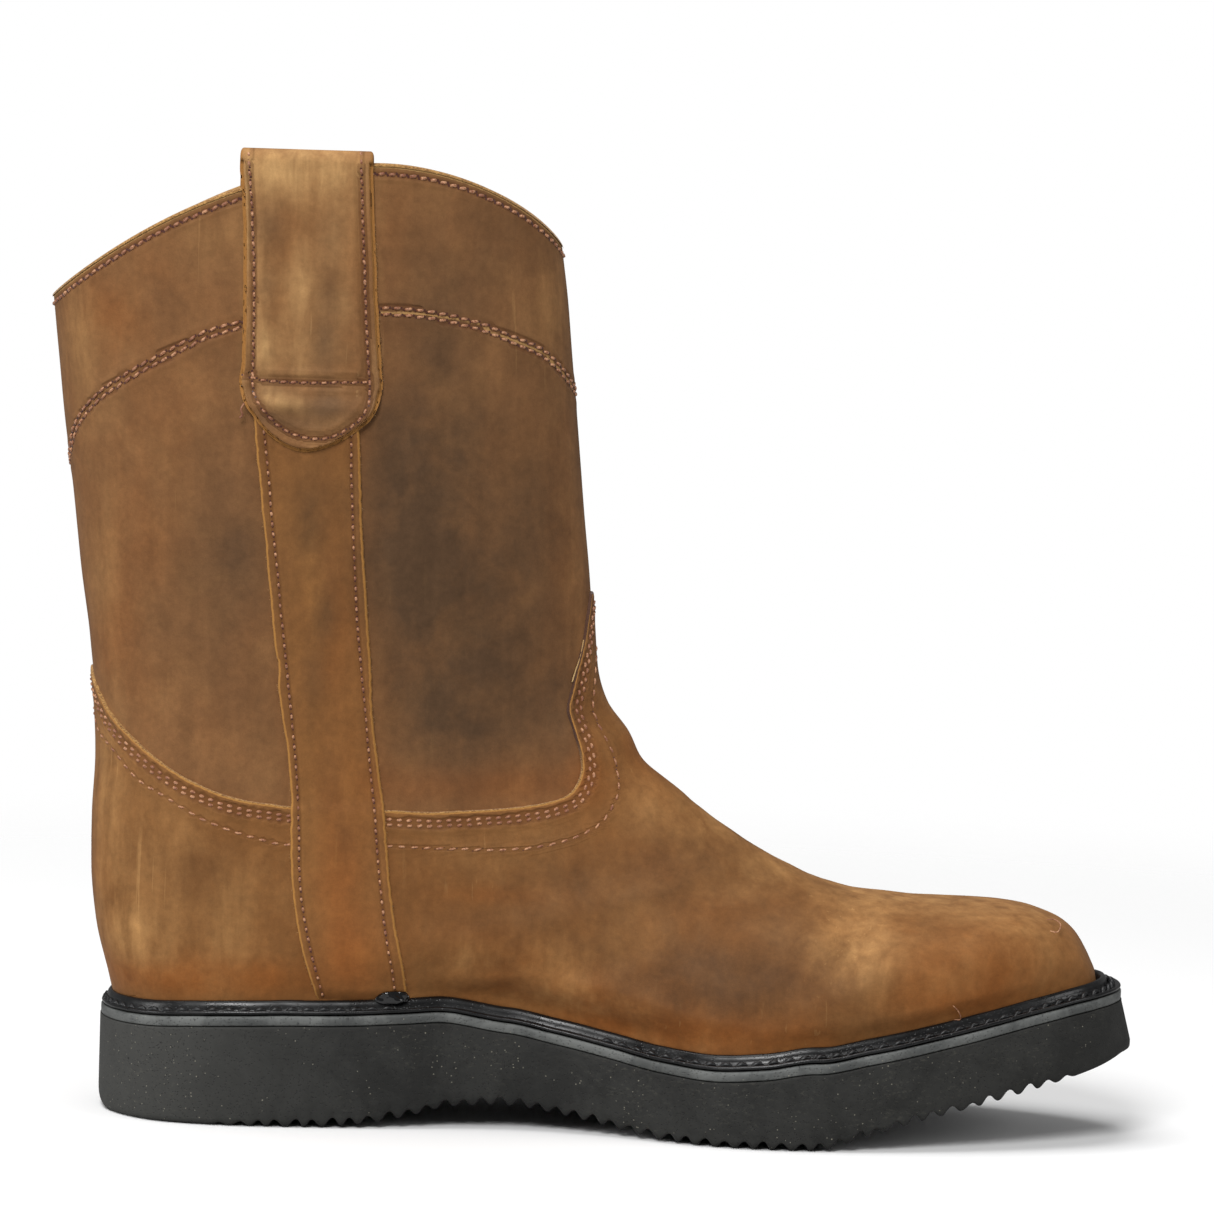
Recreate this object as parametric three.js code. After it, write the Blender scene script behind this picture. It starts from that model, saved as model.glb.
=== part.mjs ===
import * as THREE from "three";

// Sizes in mm. X runs from the back of the sole to the toe, +Y is the little-toe side, Z is up.
const soleLength = 308;
const soleWidth = 105;
const heelThickness = 29.4;
const toeSpring = 27;
const toeLean = 3; // the toe wall leans forward towards the tread
const edgeRound = 2.2; // rounding of the tread's outer edge
const heelRound = 5; // rounding under the back of the heel
const treadPitch = 5.5;
const treadDepth = 1.8;
const treadStart = 0.125; // first and last groove, as shares of the sole's length
const treadEnd = 0.935;
const midsoleThickness = 2.9;
const weltAtHeel = 4.8; // how far the welt stands out from the leather
const weltAtToe = 7.5;
const weltEdge = 1.2;
const beadHeight = 4.2; // top of the welt's bead over the midsole
const upperHeight = 251; // seat of the upper to the top of the collar
const shaftWidth = 88;
const leather = 2.5;
const insoleThickness = 4.8;
const strapThickness = 1.4;
const loopThickness = 1.6;
const lateralBack = 4.2; // the outer side's tab sits this much further back
const gap = 0.3;

const topLength = soleLength - toeLean;
const heelShare = 0.0157; // where the leather meets the welt at heel and toe, in the tables' shares of length
const toeShare = 0.9754;

// Stations of the sole: place along its top, centre and half width over soleWidth,
// lift of the tread over toeSpring, thickness over heelThickness.
const soleRows = [
  { at: 0.012, mid: 0.0, half: 0.152, lift: 0, thick: 0.929 },
  { at: 0.05, mid: 0.002, half: 0.289, lift: 0, thick: 0.946 },
  { at: 0.1, mid: 0.005, half: 0.346, lift: 0, thick: 0.98 },
  { at: 0.15, mid: 0.006, half: 0.361, lift: 0, thick: 1.003 },
  { at: 0.2, mid: 0.01, half: 0.358, lift: 0, thick: 1.017 },
  { at: 0.25, mid: 0.012, half: 0.349, lift: 0.026, thick: 1.003 },
  { at: 0.3, mid: 0.022, half: 0.339, lift: 0.111, thick: 0.949 },
  { at: 0.35, mid: 0.036, half: 0.331, lift: 0.244, thick: 0.837 },
  { at: 0.4, mid: 0.049, half: 0.335, lift: 0.27, thick: 0.728 },
  { at: 0.45, mid: 0.058, half: 0.356, lift: 0.2, thick: 0.697 },
  { at: 0.5, mid: 0.058, half: 0.394, lift: 0.107, thick: 0.684 },
  { at: 0.55, mid: 0.044, half: 0.442, lift: 0.022, thick: 0.67 },
  { at: 0.6, mid: 0.029, half: 0.484, lift: 0, thick: 0.65 },
  { at: 0.65, mid: 0.021, half: 0.501, lift: 0, thick: 0.69 },
  { at: 0.7, mid: 0.017, half: 0.497, lift: 0, thick: 0.769 },
  { at: 0.75, mid: 0.012, half: 0.477, lift: 0.163, thick: 0.714 },
  { at: 0.8, mid: 0.01, half: 0.448, lift: 0.33, thick: 0.67 },
  { at: 0.85, mid: 0.004, half: 0.404, lift: 0.474, thick: 0.66 },
  { at: 0.9, mid: -0.005, half: 0.345, lift: 0.63, thick: 0.646 },
  { at: 0.94, mid: -0.011, half: 0.284, lift: 0.763, thick: 0.616 },
  { at: 0.97, mid: -0.019, half: 0.214, lift: 0.874, thick: 0.568 },
  { at: 0.99, mid: -0.025, half: 0.131, lift: 0.96, thick: 0.515 },
];

// Sections of the upper, from the collar down the shaft, round the heel and on to the toe. Each runs from
// the back, or from the seat, up to the front line.
// back, front: x of its two ends over topLength. backRise, frontRise: their height over the seat there,
// over upperHeight; a backRise of 0 lies on the seat and is open underneath. half: greatest half width;
// mid, crest: its centre there and at the front line, all three over shaftWidth. widest: where along the
// section that is. low, top: how square its two arcs are. bow: how far its middle rises, over upperHeight.
const upperColumns = [
  "back", "backRise", "front", "frontRise", "half", "mid", "crest", "widest", "low", "top", "bow",
];
const upperRows = [
  [-0.062, 0.83, 0.431, 0.905, 0.5, 0, 0, 0.5, 2.3, 2.2, 0.119],
  [-0.056, 0.766, 0.438, 0.845, 0.495, 0, 0, 0.5, 2.3, 2.2, 0.109],
  [-0.049, 0.69, 0.445, 0.767, 0.489, 0, 0, 0.5, 2.3, 2.2, 0.092],
  [-0.039, 0.603, 0.453, 0.685, 0.48, 0, 0, 0.49, 2.3, 2.2, 0.072],
  [-0.03, 0.515, 0.46, 0.603, 0.466, 0, 0, 0.48, 2.3, 2.15, 0.044],
  [-0.019, 0.431, 0.467, 0.529, 0.449, 0, 0, 0.46, 2.3, 2.1, 0.02],
  [-0.012, 0.356, 0.472, 0.466, 0.432, 0.006, 0, 0.44, 2.3, 2.05, 0.008],
  [-0.0085, 0.284, 0.476, 0.421, 0.418, 0.006, -0.011, 0.42, 2.35, 2, 0],
  [-0.0105, 0.22, 0.487, 0.382, 0.411, 0.006, -0.017, 0.39, 2.4, 1.95, 0],
  [-0.0095, 0.157, 0.508, 0.351, 0.409, 0.006, -0.023, 0.36, 2.45, 1.9, 0],
  [-0.004, 0.097, 0.522, 0.325, 0.409, 0.006, -0.028, 0.33, 2.5, 1.9, 0],
  [0.006, 0.045, 0.544, 0.305, 0.409, 0.007, -0.034, 0.31, 2.6, 1.9, 0],
  [0.0157, 0, 0.564, 0.289, 0.409, 0.008, -0.04, 0.3, 2.6, 1.9, 0],
  [0.02, 0, 0.572, 0.282, 0.409, 0.008, -0.042, 0.29, 2.6, 1.9, 0],
  [0.033, 0, 0.582, 0.275, 0.409, 0.009, -0.045, 0.28, 2.6, 1.9, 0],
  [0.056, 0, 0.595, 0.265, 0.409, 0.01, -0.048, 0.27, 2.5, 1.9, 0],
  [0.092, 0, 0.61, 0.254, 0.409, 0.011, -0.051, 0.26, 2.4, 1.9, 0],
  [0.144, 0, 0.628, 0.239, 0.409, 0.014, -0.055, 0.25, 2.3, 1.95, 0],
  [0.21, 0, 0.648, 0.223, 0.409, 0.02, -0.057, 0.25, 2.3, 2, 0],
  [0.282, 0, 0.669, 0.206, 0.415, 0.032, -0.057, 0.26, 2.3, 2, 0],
  [0.354, 0, 0.69, 0.189, 0.426, 0.045, -0.055, 0.28, 2.3, 2.05, 0],
  [0.426, 0, 0.713, 0.178, 0.46, 0.051, -0.048, 0.28, 2.3, 2.1, 0],
  [0.498, 0, 0.738, 0.164, 0.5, 0.045, -0.041, 0.26, 2.3, 2.15, 0],
  [0.57, 0, 0.764, 0.153, 0.528, 0.034, -0.034, 0.25, 2.3, 2.2, 0],
  [0.643, 0, 0.793, 0.142, 0.534, 0.025, -0.028, 0.25, 2.3, 2.25, 0],
  [0.708, 0, 0.823, 0.133, 0.517, 0.018, -0.023, 0.25, 2.3, 2.3, 0],
  [0.767, 0, 0.852, 0.124, 0.483, 0.013, -0.02, 0.26, 2.3, 2.35, 0],
  [0.82, 0, 0.88, 0.114, 0.438, 0.007, -0.018, 0.28, 2.3, 2.4, 0],
  [0.862, 0, 0.902, 0.104, 0.381, 0.001, -0.018, 0.3, 2.3, 2.4, 0],
  [0.898, 0, 0.921, 0.092, 0.318, -0.006, -0.018, 0.33, 2.3, 2.4, 0],
  [0.928, 0, 0.938, 0.079, 0.244, -0.011, -0.02, 0.36, 2.3, 2.4, 0],
  [0.949, 0, 0.952, 0.062, 0.17, -0.017, -0.023, 0.38, 2.3, 2.3, 0],
  [0.964, 0, 0.963, 0.039, 0.091, -0.023, -0.026, 0.4, 2.3, 2.2, 0],
  [0.9725, 0, 0.971, 0.018, 0.023, -0.027, -0.03, 0.42, 2.3, 2.1, 0],
];

// Side strips: height over the seat, over upperHeight, with the x of both edges over topLength.
const strapRows = [
  { rise: 0.71, back: 0.144, front: 0.246 },
  { rise: 0.6, back: 0.152, front: 0.249 },
  { rise: 0.47, back: 0.164, front: 0.259 },
  { rise: 0.35, back: 0.175, front: 0.266 },
  { rise: 0.24, back: 0.187, front: 0.278 },
  { rise: 0.15, back: 0.189, front: 0.283 },
  { rise: 0.06, back: 0.203, front: 0.294 },
  { rise: 0.018, back: 0.221, front: 0.302 },
];

// Pull tabs, in the same shares: outer edges from the fold down to the round end.
const loopRows = [
  { rise: 1.0, back: 0.124, front: 0.25 },
  { rise: 0.85, back: 0.127, front: 0.258 },
  { rise: 0.72, back: 0.131, front: 0.266 },
  { rise: 0.66, back: 0.133, front: 0.268 },
];
const loopTop = { medial: 1.003, lateral: 0.995 }; // fold, over upperHeight above the seat
const loopCorner = 0.72; // where its round end starts, and where it ends
const loopTip = 0.665;
const loopInside = 0.83; // its end inside the shaft

const steps = (count) => Array.from({ length: count + 1 }, (_, i) => i / count);
const lerp = (a, b, t) => a + (b - a) * t;
const clamp = (x, low, high) => Math.min(Math.max(x, low), high);
const smooth = (t) => t * t * (3 - 2 * t);

// A cubic through the knots that never overshoots them.
function curve(xs, ys) {
  const last = xs.length - 1;
  const slope = xs.slice(1).map((x, i) => (ys[i + 1] - ys[i]) / (x - xs[i]));
  const grade = xs.map((x, i) => {
    if (i === 0 || i === last) return slope[Math.min(i, last - 1)];
    const product = slope[i - 1] * slope[i];
    return product <= 0 ? 0 : (2 * product) / (slope[i - 1] + slope[i]);
  });
  return (x) => {
    const at = clamp(x, xs[0], xs[last]);
    let i = 0;
    while (i < last - 1 && at > xs[i + 1]) i += 1;
    const h = xs[i + 1] - xs[i];
    const t = (at - xs[i]) / h;
    const rise = (ys[i + 1] - ys[i]) * smooth(t);
    return ys[i] + rise + h * t * (1 - t) * ((1 - t) * grade[i] - t * grade[i + 1]);
  };
}

const rowCurve = (rows, key, value) => curve(rows.map((r) => r[key]), rows.map(value));

// The sole's outline: half width squared over at * (1 - at) stays finite where the ends close.
const soleMid = rowCurve(soleRows, "at", (r) => r.mid * soleWidth);
const soleFullness = rowCurve(soleRows, "at", (r) => (r.half * soleWidth) ** 2 / (r.at * (1 - r.at)));
const soleLift = rowCurve(soleRows, "at", (r) => r.lift * toeSpring);
const soleThick = rowCurve(soleRows, "at", (r) => r.thick * heelThickness);

function soleEdge(at, side) {
  return soleMid(at) + side * Math.sqrt(soleFullness(at) * at * (1 - at));
}
const soleTop = (x) => soleLift(x / topLength) + soleThick(x / topLength);
const midsoleTop = (x) => soleTop(x) + gap + midsoleThickness;
const seat = (x) => midsoleTop(x) + gap + weltEdge + gap + 0.4;

const rounded = steps(160).map((t) => (1 - Math.cos(Math.PI * t)) / 2);

// Points of one side of the outline, moved inwards by inset(x).
function insetSide(inset, side) {
  const edge = rounded.map((at) => [topLength * at, soleEdge(at, side)]);
  return edge.map(([x, y], i) => {
    if (i === 0) return [x + inset(x), y];
    if (i === edge.length - 1) return [x - inset(x), y];
    const dx = edge[i + 1][0] - edge[i - 1][0];
    const dy = edge[i + 1][1] - edge[i - 1][1];
    const d = inset(x) / Math.hypot(dx, dy);
    return [x + side * dy * d, y - side * dx * d];
  });
}

// The inset outline as functions of x: where it starts and ends, and y on both sides.
function outline(inset) {
  const sides = [-1, 1].map((side) => insetSide(inset, side));
  const across = (points, x) => {
    let i = 0;
    while (i < points.length - 2 && x > points[i + 1][0]) i += 1;
    const [a, b] = [points[i], points[i + 1]];
    return lerp(a[1], b[1], clamp((x - a[0]) / (b[0] - a[0]), 0, 1));
  };
  return {
    start: sides[0][0][0],
    end: sides[0][rounded.length - 1][0],
    inner: (x) => across(sides[0], x),
    outer: (x) => across(sides[1], x),
  };
}

const weltWidth = (x) => lerp(weltAtHeel, weltAtToe, smooth(clamp(x / topLength / 0.9, 0, 1)));
const feather = outline(weltWidth);
const place = (share) => lerp(feather.start, feather.end, (share - heelShare) / (toeShare - heelShare));
const heelGrow = curve([0, 4, 11, 24], [0, 1.05, 2.9, 4.6]); // how far the heel swells with its height

// y of the feather line, let out by grow, which also moves its back end.
function wallAt(x, grow, side) {
  const at = x + grow * clamp(1 - (x - feather.start) / 60, 0, 1);
  const y = side < 0 ? feather.inner(at) : feather.outer(at);
  return y * (1 + grow / 34);
}

// Closed surfaces from quads; a quad that has shrunk to a line or a point is left out.
class Skin {
  points = [];

  triangle(a, b, c) {
    const area = b.clone().sub(a).cross(c.clone().sub(a)).length();
    if (area > 1e-5 && a.distanceTo(b) > 2e-3 && b.distanceTo(c) > 2e-3 && c.distanceTo(a) > 2e-3)
      this.points.push(a, b, c);
  }

  quad(a, b, c, d) {
    const near = a.distanceTo(c) <= b.distanceTo(d);
    this.triangle(a, b, near ? c : d);
    this.triangle(near ? a : b, c, d);
  }

  strip(one, two) {
    for (let i = 0; i < one.length - 1; i += 1) this.quad(one[i], one[i + 1], two[i + 1], two[i]);
  }

  grid(rows) {
    for (let i = 0; i < rows.length - 1; i += 1) this.strip(rows[i], rows[i + 1]);
  }

  geometry() {
    return new THREE.BufferGeometry().setFromPoints(this.points);
  }
}

const point = (x, y, z) => new THREE.Vector3(x, y, z);
const closed = (ring) => [...ring, ring[0]];

// A solid between two closed grids of the same size, as a strap: face outside, back against the leather.
function slab(face, back) {
  const skin = new Skin();
  skin.grid(face);
  skin.grid(back.map((row) => [...row].reverse()));
  const last = face.length - 1;
  skin.strip(back[0], face[0]);
  skin.strip(face[last], back[last]);
  skin.strip(face.map((row) => row[0]), back.map((row) => row[0]));
  skin.strip(back.map((row) => row.at(-1)), face.map((row) => row.at(-1)));
  return skin.geometry();
}

// A plate that fills an outline between two heights.
function plate(shape, low, high, count) {
  const rings = steps(count).map((t) => {
    const x = lerp(shape.start, shape.end, (1 - Math.cos(Math.PI * t)) / 2);
    const inner = shape.inner(x);
    const outer = shape.outer(x);
    const corners = [[inner, high(x)], [inner, low(x)], [outer, low(x)], [outer, high(x)]];
    return closed(corners.map(([y, z]) => point(x, y, z)));
  });
  const skin = new Skin();
  skin.grid(rings);
  return skin.geometry();
}

// Tread: flat-tipped lobes with V grooves between them, square across the foot.
function grooveCentres() {
  const count = Math.floor((soleLength * (treadEnd - treadStart)) / treadPitch);
  return steps(count).map((t, i) => soleLength * treadStart + i * treadPitch);
}

function treadStations() {
  const centres = grooveCentres();
  const ramp = (i) => clamp((i + 1.5) / 4, 0, 1) * clamp((centres.length - i + 0.5) / 3, 0, 1);
  const grooves = centres.flatMap((x, i) => [
    { x: x - 0.2 * treadPitch, depth: 0 },
    { x, depth: treadDepth * ramp(i) },
    { x: x + 0.2 * treadPitch, depth: 0 },
  ]);
  const first = grooves[0].x;
  const last = grooves.at(-1).x;
  const plain = (from, to, shares) => shares.map((t) => ({ x: lerp(from, to, t), depth: 0 }));
  const heel = plain(0, first, [0, 0.006, 0.025, 0.06, 0.11, 0.18, 0.27, 0.4, 0.6, 0.8]);
  const toe = plain(topLength, last, [0.9, 0.7, 0.5, 0.35, 0.23, 0.13, 0.06, 0.02, 0.004, 0]);
  return [...heel, ...grooves, ...toe];
}

function makeOutsole() {
  const rings = treadStations().map(({ x, depth }) => {
    const at = x / topLength;
    const inner = soleEdge(at, -1);
    const outer = soleEdge(at, 1);
    const round = Math.min(edgeRound, 0.3 * (outer - inner));
    const under = heelRound - Math.sqrt(heelRound ** 2 - Math.max(heelRound - x, 0) ** 2);
    const low = soleLift(at) + depth + under;
    const high = soleTop(x);
    const lean = toeLean * at ** 10;
    const corner = low + Math.max(edgeRound - depth, 0.2);
    return closed([
      point(x, inner, high),
      point(x + lean, inner, corner),
      point(x + lean, inner + round, low),
      point(x + lean, outer - round, low),
      point(x + lean, outer, corner),
      point(x, outer, high),
    ]);
  });
  const skin = new Skin();
  skin.grid(rings);
  return skin.geometry();
}

function makeMidsole() {
  return plate(outline(() => 0.4), (x) => soleTop(x) + gap, midsoleTop, 84);
}

function makeInsole() {
  const shape = outline((x) => weltWidth(x) + leather + 2);
  const low = (x) => midsoleTop(x) + gap;
  return plate(shape, low, (x) => low(x) + insoleThickness, 72);
}

// The welt is a ring: section points as distance in from the sole's edge and height over the midsole.
function makeWelt() {
  const ledge = gap + weltEdge;
  const section = [
    [() => 0.6, gap],
    [() => 0.6, ledge],
    [(w) => w - 2.7, ledge + 1.5],
    [(w) => w - 2.4, beadHeight],
    [(w) => w - 1.2, beadHeight],
    [(w) => w - 0.9, ledge],
    [(w) => w + leather, ledge],
    [(w) => w + leather, gap],
  ];
  const rings = section.map(([inset, height]) => {
    const [inner, outer] = [-1, 1].map((side) => insetSide((x) => inset(weltWidth(x)), side));
    const loop = [...inner, ...outer.reverse().slice(1, -1)].filter((_, i) => i % 3 === 0);
    return closed(loop.map(([x, y]) => point(x, y, midsoleTop(x) + height)));
  });
  const skin = new Skin();
  skin.grid(closed(rings));
  return skin.geometry();
}

// Every column of the table as a smooth function of the row's number.
const upperCurves = upperColumns.map((_, column) =>
  curve(upperRows.map((row, i) => i), upperRows.map((row) => row[column])),
);
const firstOpen = upperRows.findIndex((row) => row[1] === 0);

function makeSection(number) {
  const s = Object.fromEntries(upperColumns.map((name, i) => [name, upperCurves[i](number)]));
  const back = place(s.back);
  const front = place(s.front);
  const open = number >= firstOpen;
  const y = open ? [feather.inner(back), feather.outer(back)] : [0, 0];
  const base = (y[1] - y[0]) / 2;
  return {
    back: point(back, 0, seat(back) + s.backRise * upperHeight),
    front: point(front, 0, seat(front) + s.frontRise * upperHeight),
    slip: open ? 0 : back + heelGrow(s.backRise * upperHeight) - feather.start,
    open,
    base,
    baseMid: (y[0] + y[1]) / 2,
    half: ((s.half * shaftWidth) ** 24 + (1.03 * base) ** 24) ** (1 / 24),
    mid: s.mid * shaftWidth,
    crest: s.crest * shaftWidth,
    widest: s.widest,
    low: s.low,
    top: s.top,
    bow: s.bow * upperHeight,
  };
}

const sectionNumbers = upperRows.flatMap((_, i) => (i < firstOpen ? [i] : [i, i + 0.5])).slice(0, -1);
const upperSections = sectionNumbers.map(makeSection);

const lowSteps = 6;
const topSteps = 6;

// Half width and centre of a section at a share of its length.
function sectionAcross(s, share) {
  if (share >= s.widest) {
    const t = (share - s.widest) / (1 - s.widest);
    const half = s.half * Math.max(1 - t ** s.top, 0) ** (1 / s.top);
    return [lerp(s.mid, s.crest, t ** 1.5), half];
  }
  const t = 1 - share / s.widest;
  const cut = (1 - Math.min(s.base / s.half, 1) ** s.low) ** (1 / s.low);
  const arc = s.half * Math.max(1 - (cut * t) ** s.low, 0) ** (1 / s.low);
  const wall = lerp(s.base, s.half, smooth(1 - t));
  const upright = s.base / s.half > 0.6 ? smooth(clamp((s.back.x / topLength - 0.2) / 0.2, 0, 1)) : 0;
  return [lerp(s.mid, s.baseMid, t ** 2), lerp(arc, wall, upright)];
}

function sectionPoint(s, share, side) {
  const [centre, half] = sectionAcross(s, share);
  const along = s.front.clone().sub(s.back);
  const lift = s.bow * (4 * share ** 1.25 * (1 - share ** 1.25)) ** 0.75;
  const at = s.back.clone().addScaledVector(along, share);
  const up = point(-along.z, 0, along.x).normalize();
  at.addScaledVector(up, lift);
  at.y = centre + side * half;
  const height = at.z - seat(at.x);
  const heel = smooth(clamp((150 - at.x) / 60, 0, 1));
  const low = smooth(clamp(1 - (height - 1.5) / 10, 0, 1)) * clamp(1 - share / s.widest, 0, 1);
  at.y = lerp(at.y, wallAt(at.x, 0.2 * Math.max(height, 0), side), low);
  const x = at.x - s.slip * clamp(1 - (at.x - s.back.x) / 15, 0, 1);
  at.y = lerp(at.y, wallAt(x, heelGrow(height), side), heel * smooth(clamp(1 - height / 22, 0, 1)));
  return at;
}

// Shares of a section's length where its points lie, closer together where it turns.
function sectionShares(s) {
  const even = s.open ? 0.6 : 0;
  const low = steps(lowSteps).map((t) => s.widest * lerp(1 - Math.cos((Math.PI * t) / 2), t, even));
  const top = steps(topSteps).map((t) => lerp(s.widest, 1, Math.sin((Math.PI * t) / 2)));
  return [...low, ...top.slice(1)];
}

function upperRow(s) {
  const shares = sectionShares(s);
  const inner = shares.map((share) => sectionPoint(s, share, -1));
  const outer = shares.map((share) => sectionPoint(s, share, 1)).reverse();
  return [...inner, ...outer.slice(1)];
}

const toeTip = point(feather.end, soleMid(1), seat(feather.end));
const outerRows = [...upperSections.map(upperRow), upperRow(upperSections[0]).map(() => toeTip)];

// The leather's inner face, one thickness inside the outer one.
function offsetRows(depth) {
  const last = outerRows.length - 1;
  return outerRows.map((row, i) => {
    if (i === last) return row.map((p) => p.clone().add(point(-depth, 0, 0)));
    const width = row.length - 1;
    const isClosed = !upperSections[i].open || upperSections[i].base === 0;
    const normal = row.map((p, j) => {
      const along = outerRows[i + 1][j].clone().sub(outerRows[Math.max(i - 1, 0)][j]);
      const next = isClosed && j === width ? row[1] : row[Math.min(j + 1, width)];
      const before = isClosed && j === 0 ? row[width - 1] : row[Math.max(j - 1, 0)];
      const inwards = next.clone().sub(before).cross(along);
      if (!isClosed && (j === 0 || j === width)) inwards.setZ(0);
      return inwards.normalize();
    });
    if (isClosed) {
      const seam = normal[0].clone().add(normal[width]).setY(0).normalize();
      normal[0] = seam;
      normal[width] = seam;
    }
    return row.map((p, j) => p.clone().addScaledVector(normal[j], depth));
  });
}

function makeUpper() {
  const inside = offsetRows(leather);
  const skin = new Skin();
  skin.grid(outerRows.map((row) => [...row].reverse()));
  skin.grid(inside);
  skin.strip(outerRows[0], inside[0]);
  const from = upperSections.findIndex((s) => s.open);
  const edge = (rows, side) => rows.slice(from).map((row) => row.at(side));
  skin.strip(edge(inside, 0), edge(outerRows, 0));
  skin.strip(edge(outerRows, -1), edge(inside, -1));
  return skin.geometry();
}

// Where the leather's outer face lies at a place of the side view.
function sideFace(x, z, side) {
  const middle = (outerRows[0].length - 1) / 2;
  const faces = side < 0 ? [0, middle] : [middle, outerRows[0].length - 1];
  for (let i = 0; i < outerRows.length - 1; i += 1) {
    for (let j = faces[0]; j < faces[1]; j += 1) {
      const [a, b] = outerRows[i].slice(j, j + 2);
      const [d, c] = outerRows[i + 1].slice(j, j + 2);
      const halves = b.distanceTo(d) <= a.distanceTo(c) ? [[a, b, d], [b, c, d]] : [[a, b, c], [a, c, d]];
      for (const [p, q, r] of halves) {
        const whole = (q.x - p.x) * (r.z - p.z) - (r.x - p.x) * (q.z - p.z);
        const u = ((x - p.x) * (r.z - p.z) - (r.x - p.x) * (z - p.z)) / whole;
        const v = ((q.x - p.x) * (z - p.z) - (x - p.x) * (q.z - p.z)) / whole;
        if (u >= -1e-6 && v >= -1e-6 && u + v <= 1 + 1e-6) return p.y + u * (q.y - p.y) + v * (r.y - p.y);
      }
    }
  }
  return 0;
}

const heelSeat = seat(0.15 * topLength);
const strapEdge = (rows, key) => rowCurve([...rows].reverse(), "rise", (r) => place(r[key]));

const setBack = (side) => (side > 0 ? lateralBack : 0);

// A strip over the side seam, from under the pull tab down to the welt.
function makeStrap(side) {
  const back = strapEdge(strapRows, "back");
  const front = strapEdge(strapRows, "front");
  const columns = side > 0 ? steps(4) : steps(4).reverse();
  const grid = (off) =>
    steps(20).map((t) => {
      const rise = lerp(strapRows[0].rise, strapRows.at(-1).rise, 1 - (1 - t) ** 1.6);
      const z = heelSeat + rise * upperHeight;
      return columns.map((u) => {
        const x = lerp(back(rise), front(rise), u) - setBack(side) * clamp(rise / 0.7, 0, 1);
        return point(x, sideFace(x, z, side) + side * off, z);
      });
    });
  return slab(grid(gap + strapThickness), grid(gap + 0.1));
}

// A pull tab: up the outside, folded over the collar and down a little way inside.
function makeLoop(side) {
  const back = strapEdge(loopRows, "back");
  const front = strapEdge(loopRows, "front");
  const columns = side > 0 ? steps(6) : steps(6).reverse();
  const over = leather / 2 + gap + 0.45 + loopThickness; // outer radius of the fold
  const top = heelSeat + (side < 0 ? loopTop.medial : loopTop.lateral) * upperHeight;
  const grid = (thick) => {
    const paths = columns.map((u) => {
      const round = Math.sqrt(1 - (2 * u - 1) ** 2);
      const low = lerp(loopCorner, loopTip, round);
      const at = (rise) => lerp(back(rise), front(rise), u) - setBack(side);
      const wall = (z, x) => side * sideFace(x, Math.min(z, top - 0.053 * upperHeight), side);
      const outside = steps(9).map((t) => {
        const rise = lerp(low, (top - over - heelSeat) / upperHeight, t);
        const z = heelSeat + rise * upperHeight;
        const clear = smooth(clamp((0.75 - rise) / 0.03, 0, 1)) * (strapThickness + 2 * gap);
        return [at(rise), wall(z, at(rise)) + gap + clear + thick, z];
      });
      const x = at(1);
      const centre = wall(top, x) - leather / 2;
      const radius = over - loopThickness + thick;
      const fold = [0.25, 0.5, 0.75].map((t) => {
        const angle = Math.PI * t;
        return [x, centre + radius * Math.cos(angle), top - over + radius * Math.sin(angle)];
      });
      const inside = steps(3).map((t) => {
        const z = lerp(top - over, heelSeat + loopInside * upperHeight, t);
        return [x, wall(z, x) - leather - 0.2 - gap - thick, z];
      });
      return [...outside, ...fold, ...inside].map(([px, y, z]) => point(px, side * y, z));
    });
    return paths;
  };
  return slab(grid(loopThickness), grid(0));
}

const finishes = {
  leather: { color: 0x76502f, roughness: 0.7, metalness: 0 },
  rubber: { color: 0x2b2b2a, roughness: 0.85, metalness: 0 },
  strip: { color: 0x565856, roughness: 0.6, metalness: 0 },
  welt: { color: 0x141414, roughness: 0.35, metalness: 0 },
  lining: { color: 0xa58a5f, roughness: 0.9, metalness: 0 },
};

const nodes = [
  ["outsole", makeOutsole(), "rubber"],
  ["midsole", makeMidsole(), "strip"],
  ["welt", makeWelt(), "welt"],
  ["insole", makeInsole(), "lining"],
  ["upper", makeUpper(), "leather"],
  ["side_strap_medial", makeStrap(-1), "leather"],
  ["side_strap_lateral", makeStrap(1), "leather"],
  ["pull_loop_medial", makeLoop(-1), "leather"],
  ["pull_loop_lateral", makeLoop(1), "leather"],
];

const boot = new THREE.Group();
boot.name = "work_boot";
for (const [name, geometry, finish] of nodes) {
  geometry.computeVertexNormals();
  const mesh = new THREE.Mesh(geometry, new THREE.MeshStandardMaterial(finishes[finish]));
  mesh.name = name;
  boot.add(mesh);
}

// The origin goes to the middle of the boot's footprint, on the floor.
const box = new THREE.Box3().setFromObject(boot);
boot.position.set(-(box.min.x + box.max.x) / 2, -(box.min.y + box.max.y) / 2, -box.min.z);

export default boot;
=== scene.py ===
import math

import bmesh
import bpy
import numpy as np
from mathutils import Matrix, Vector, kdtree
from mathutils.bvhtree import BVHTree


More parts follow.
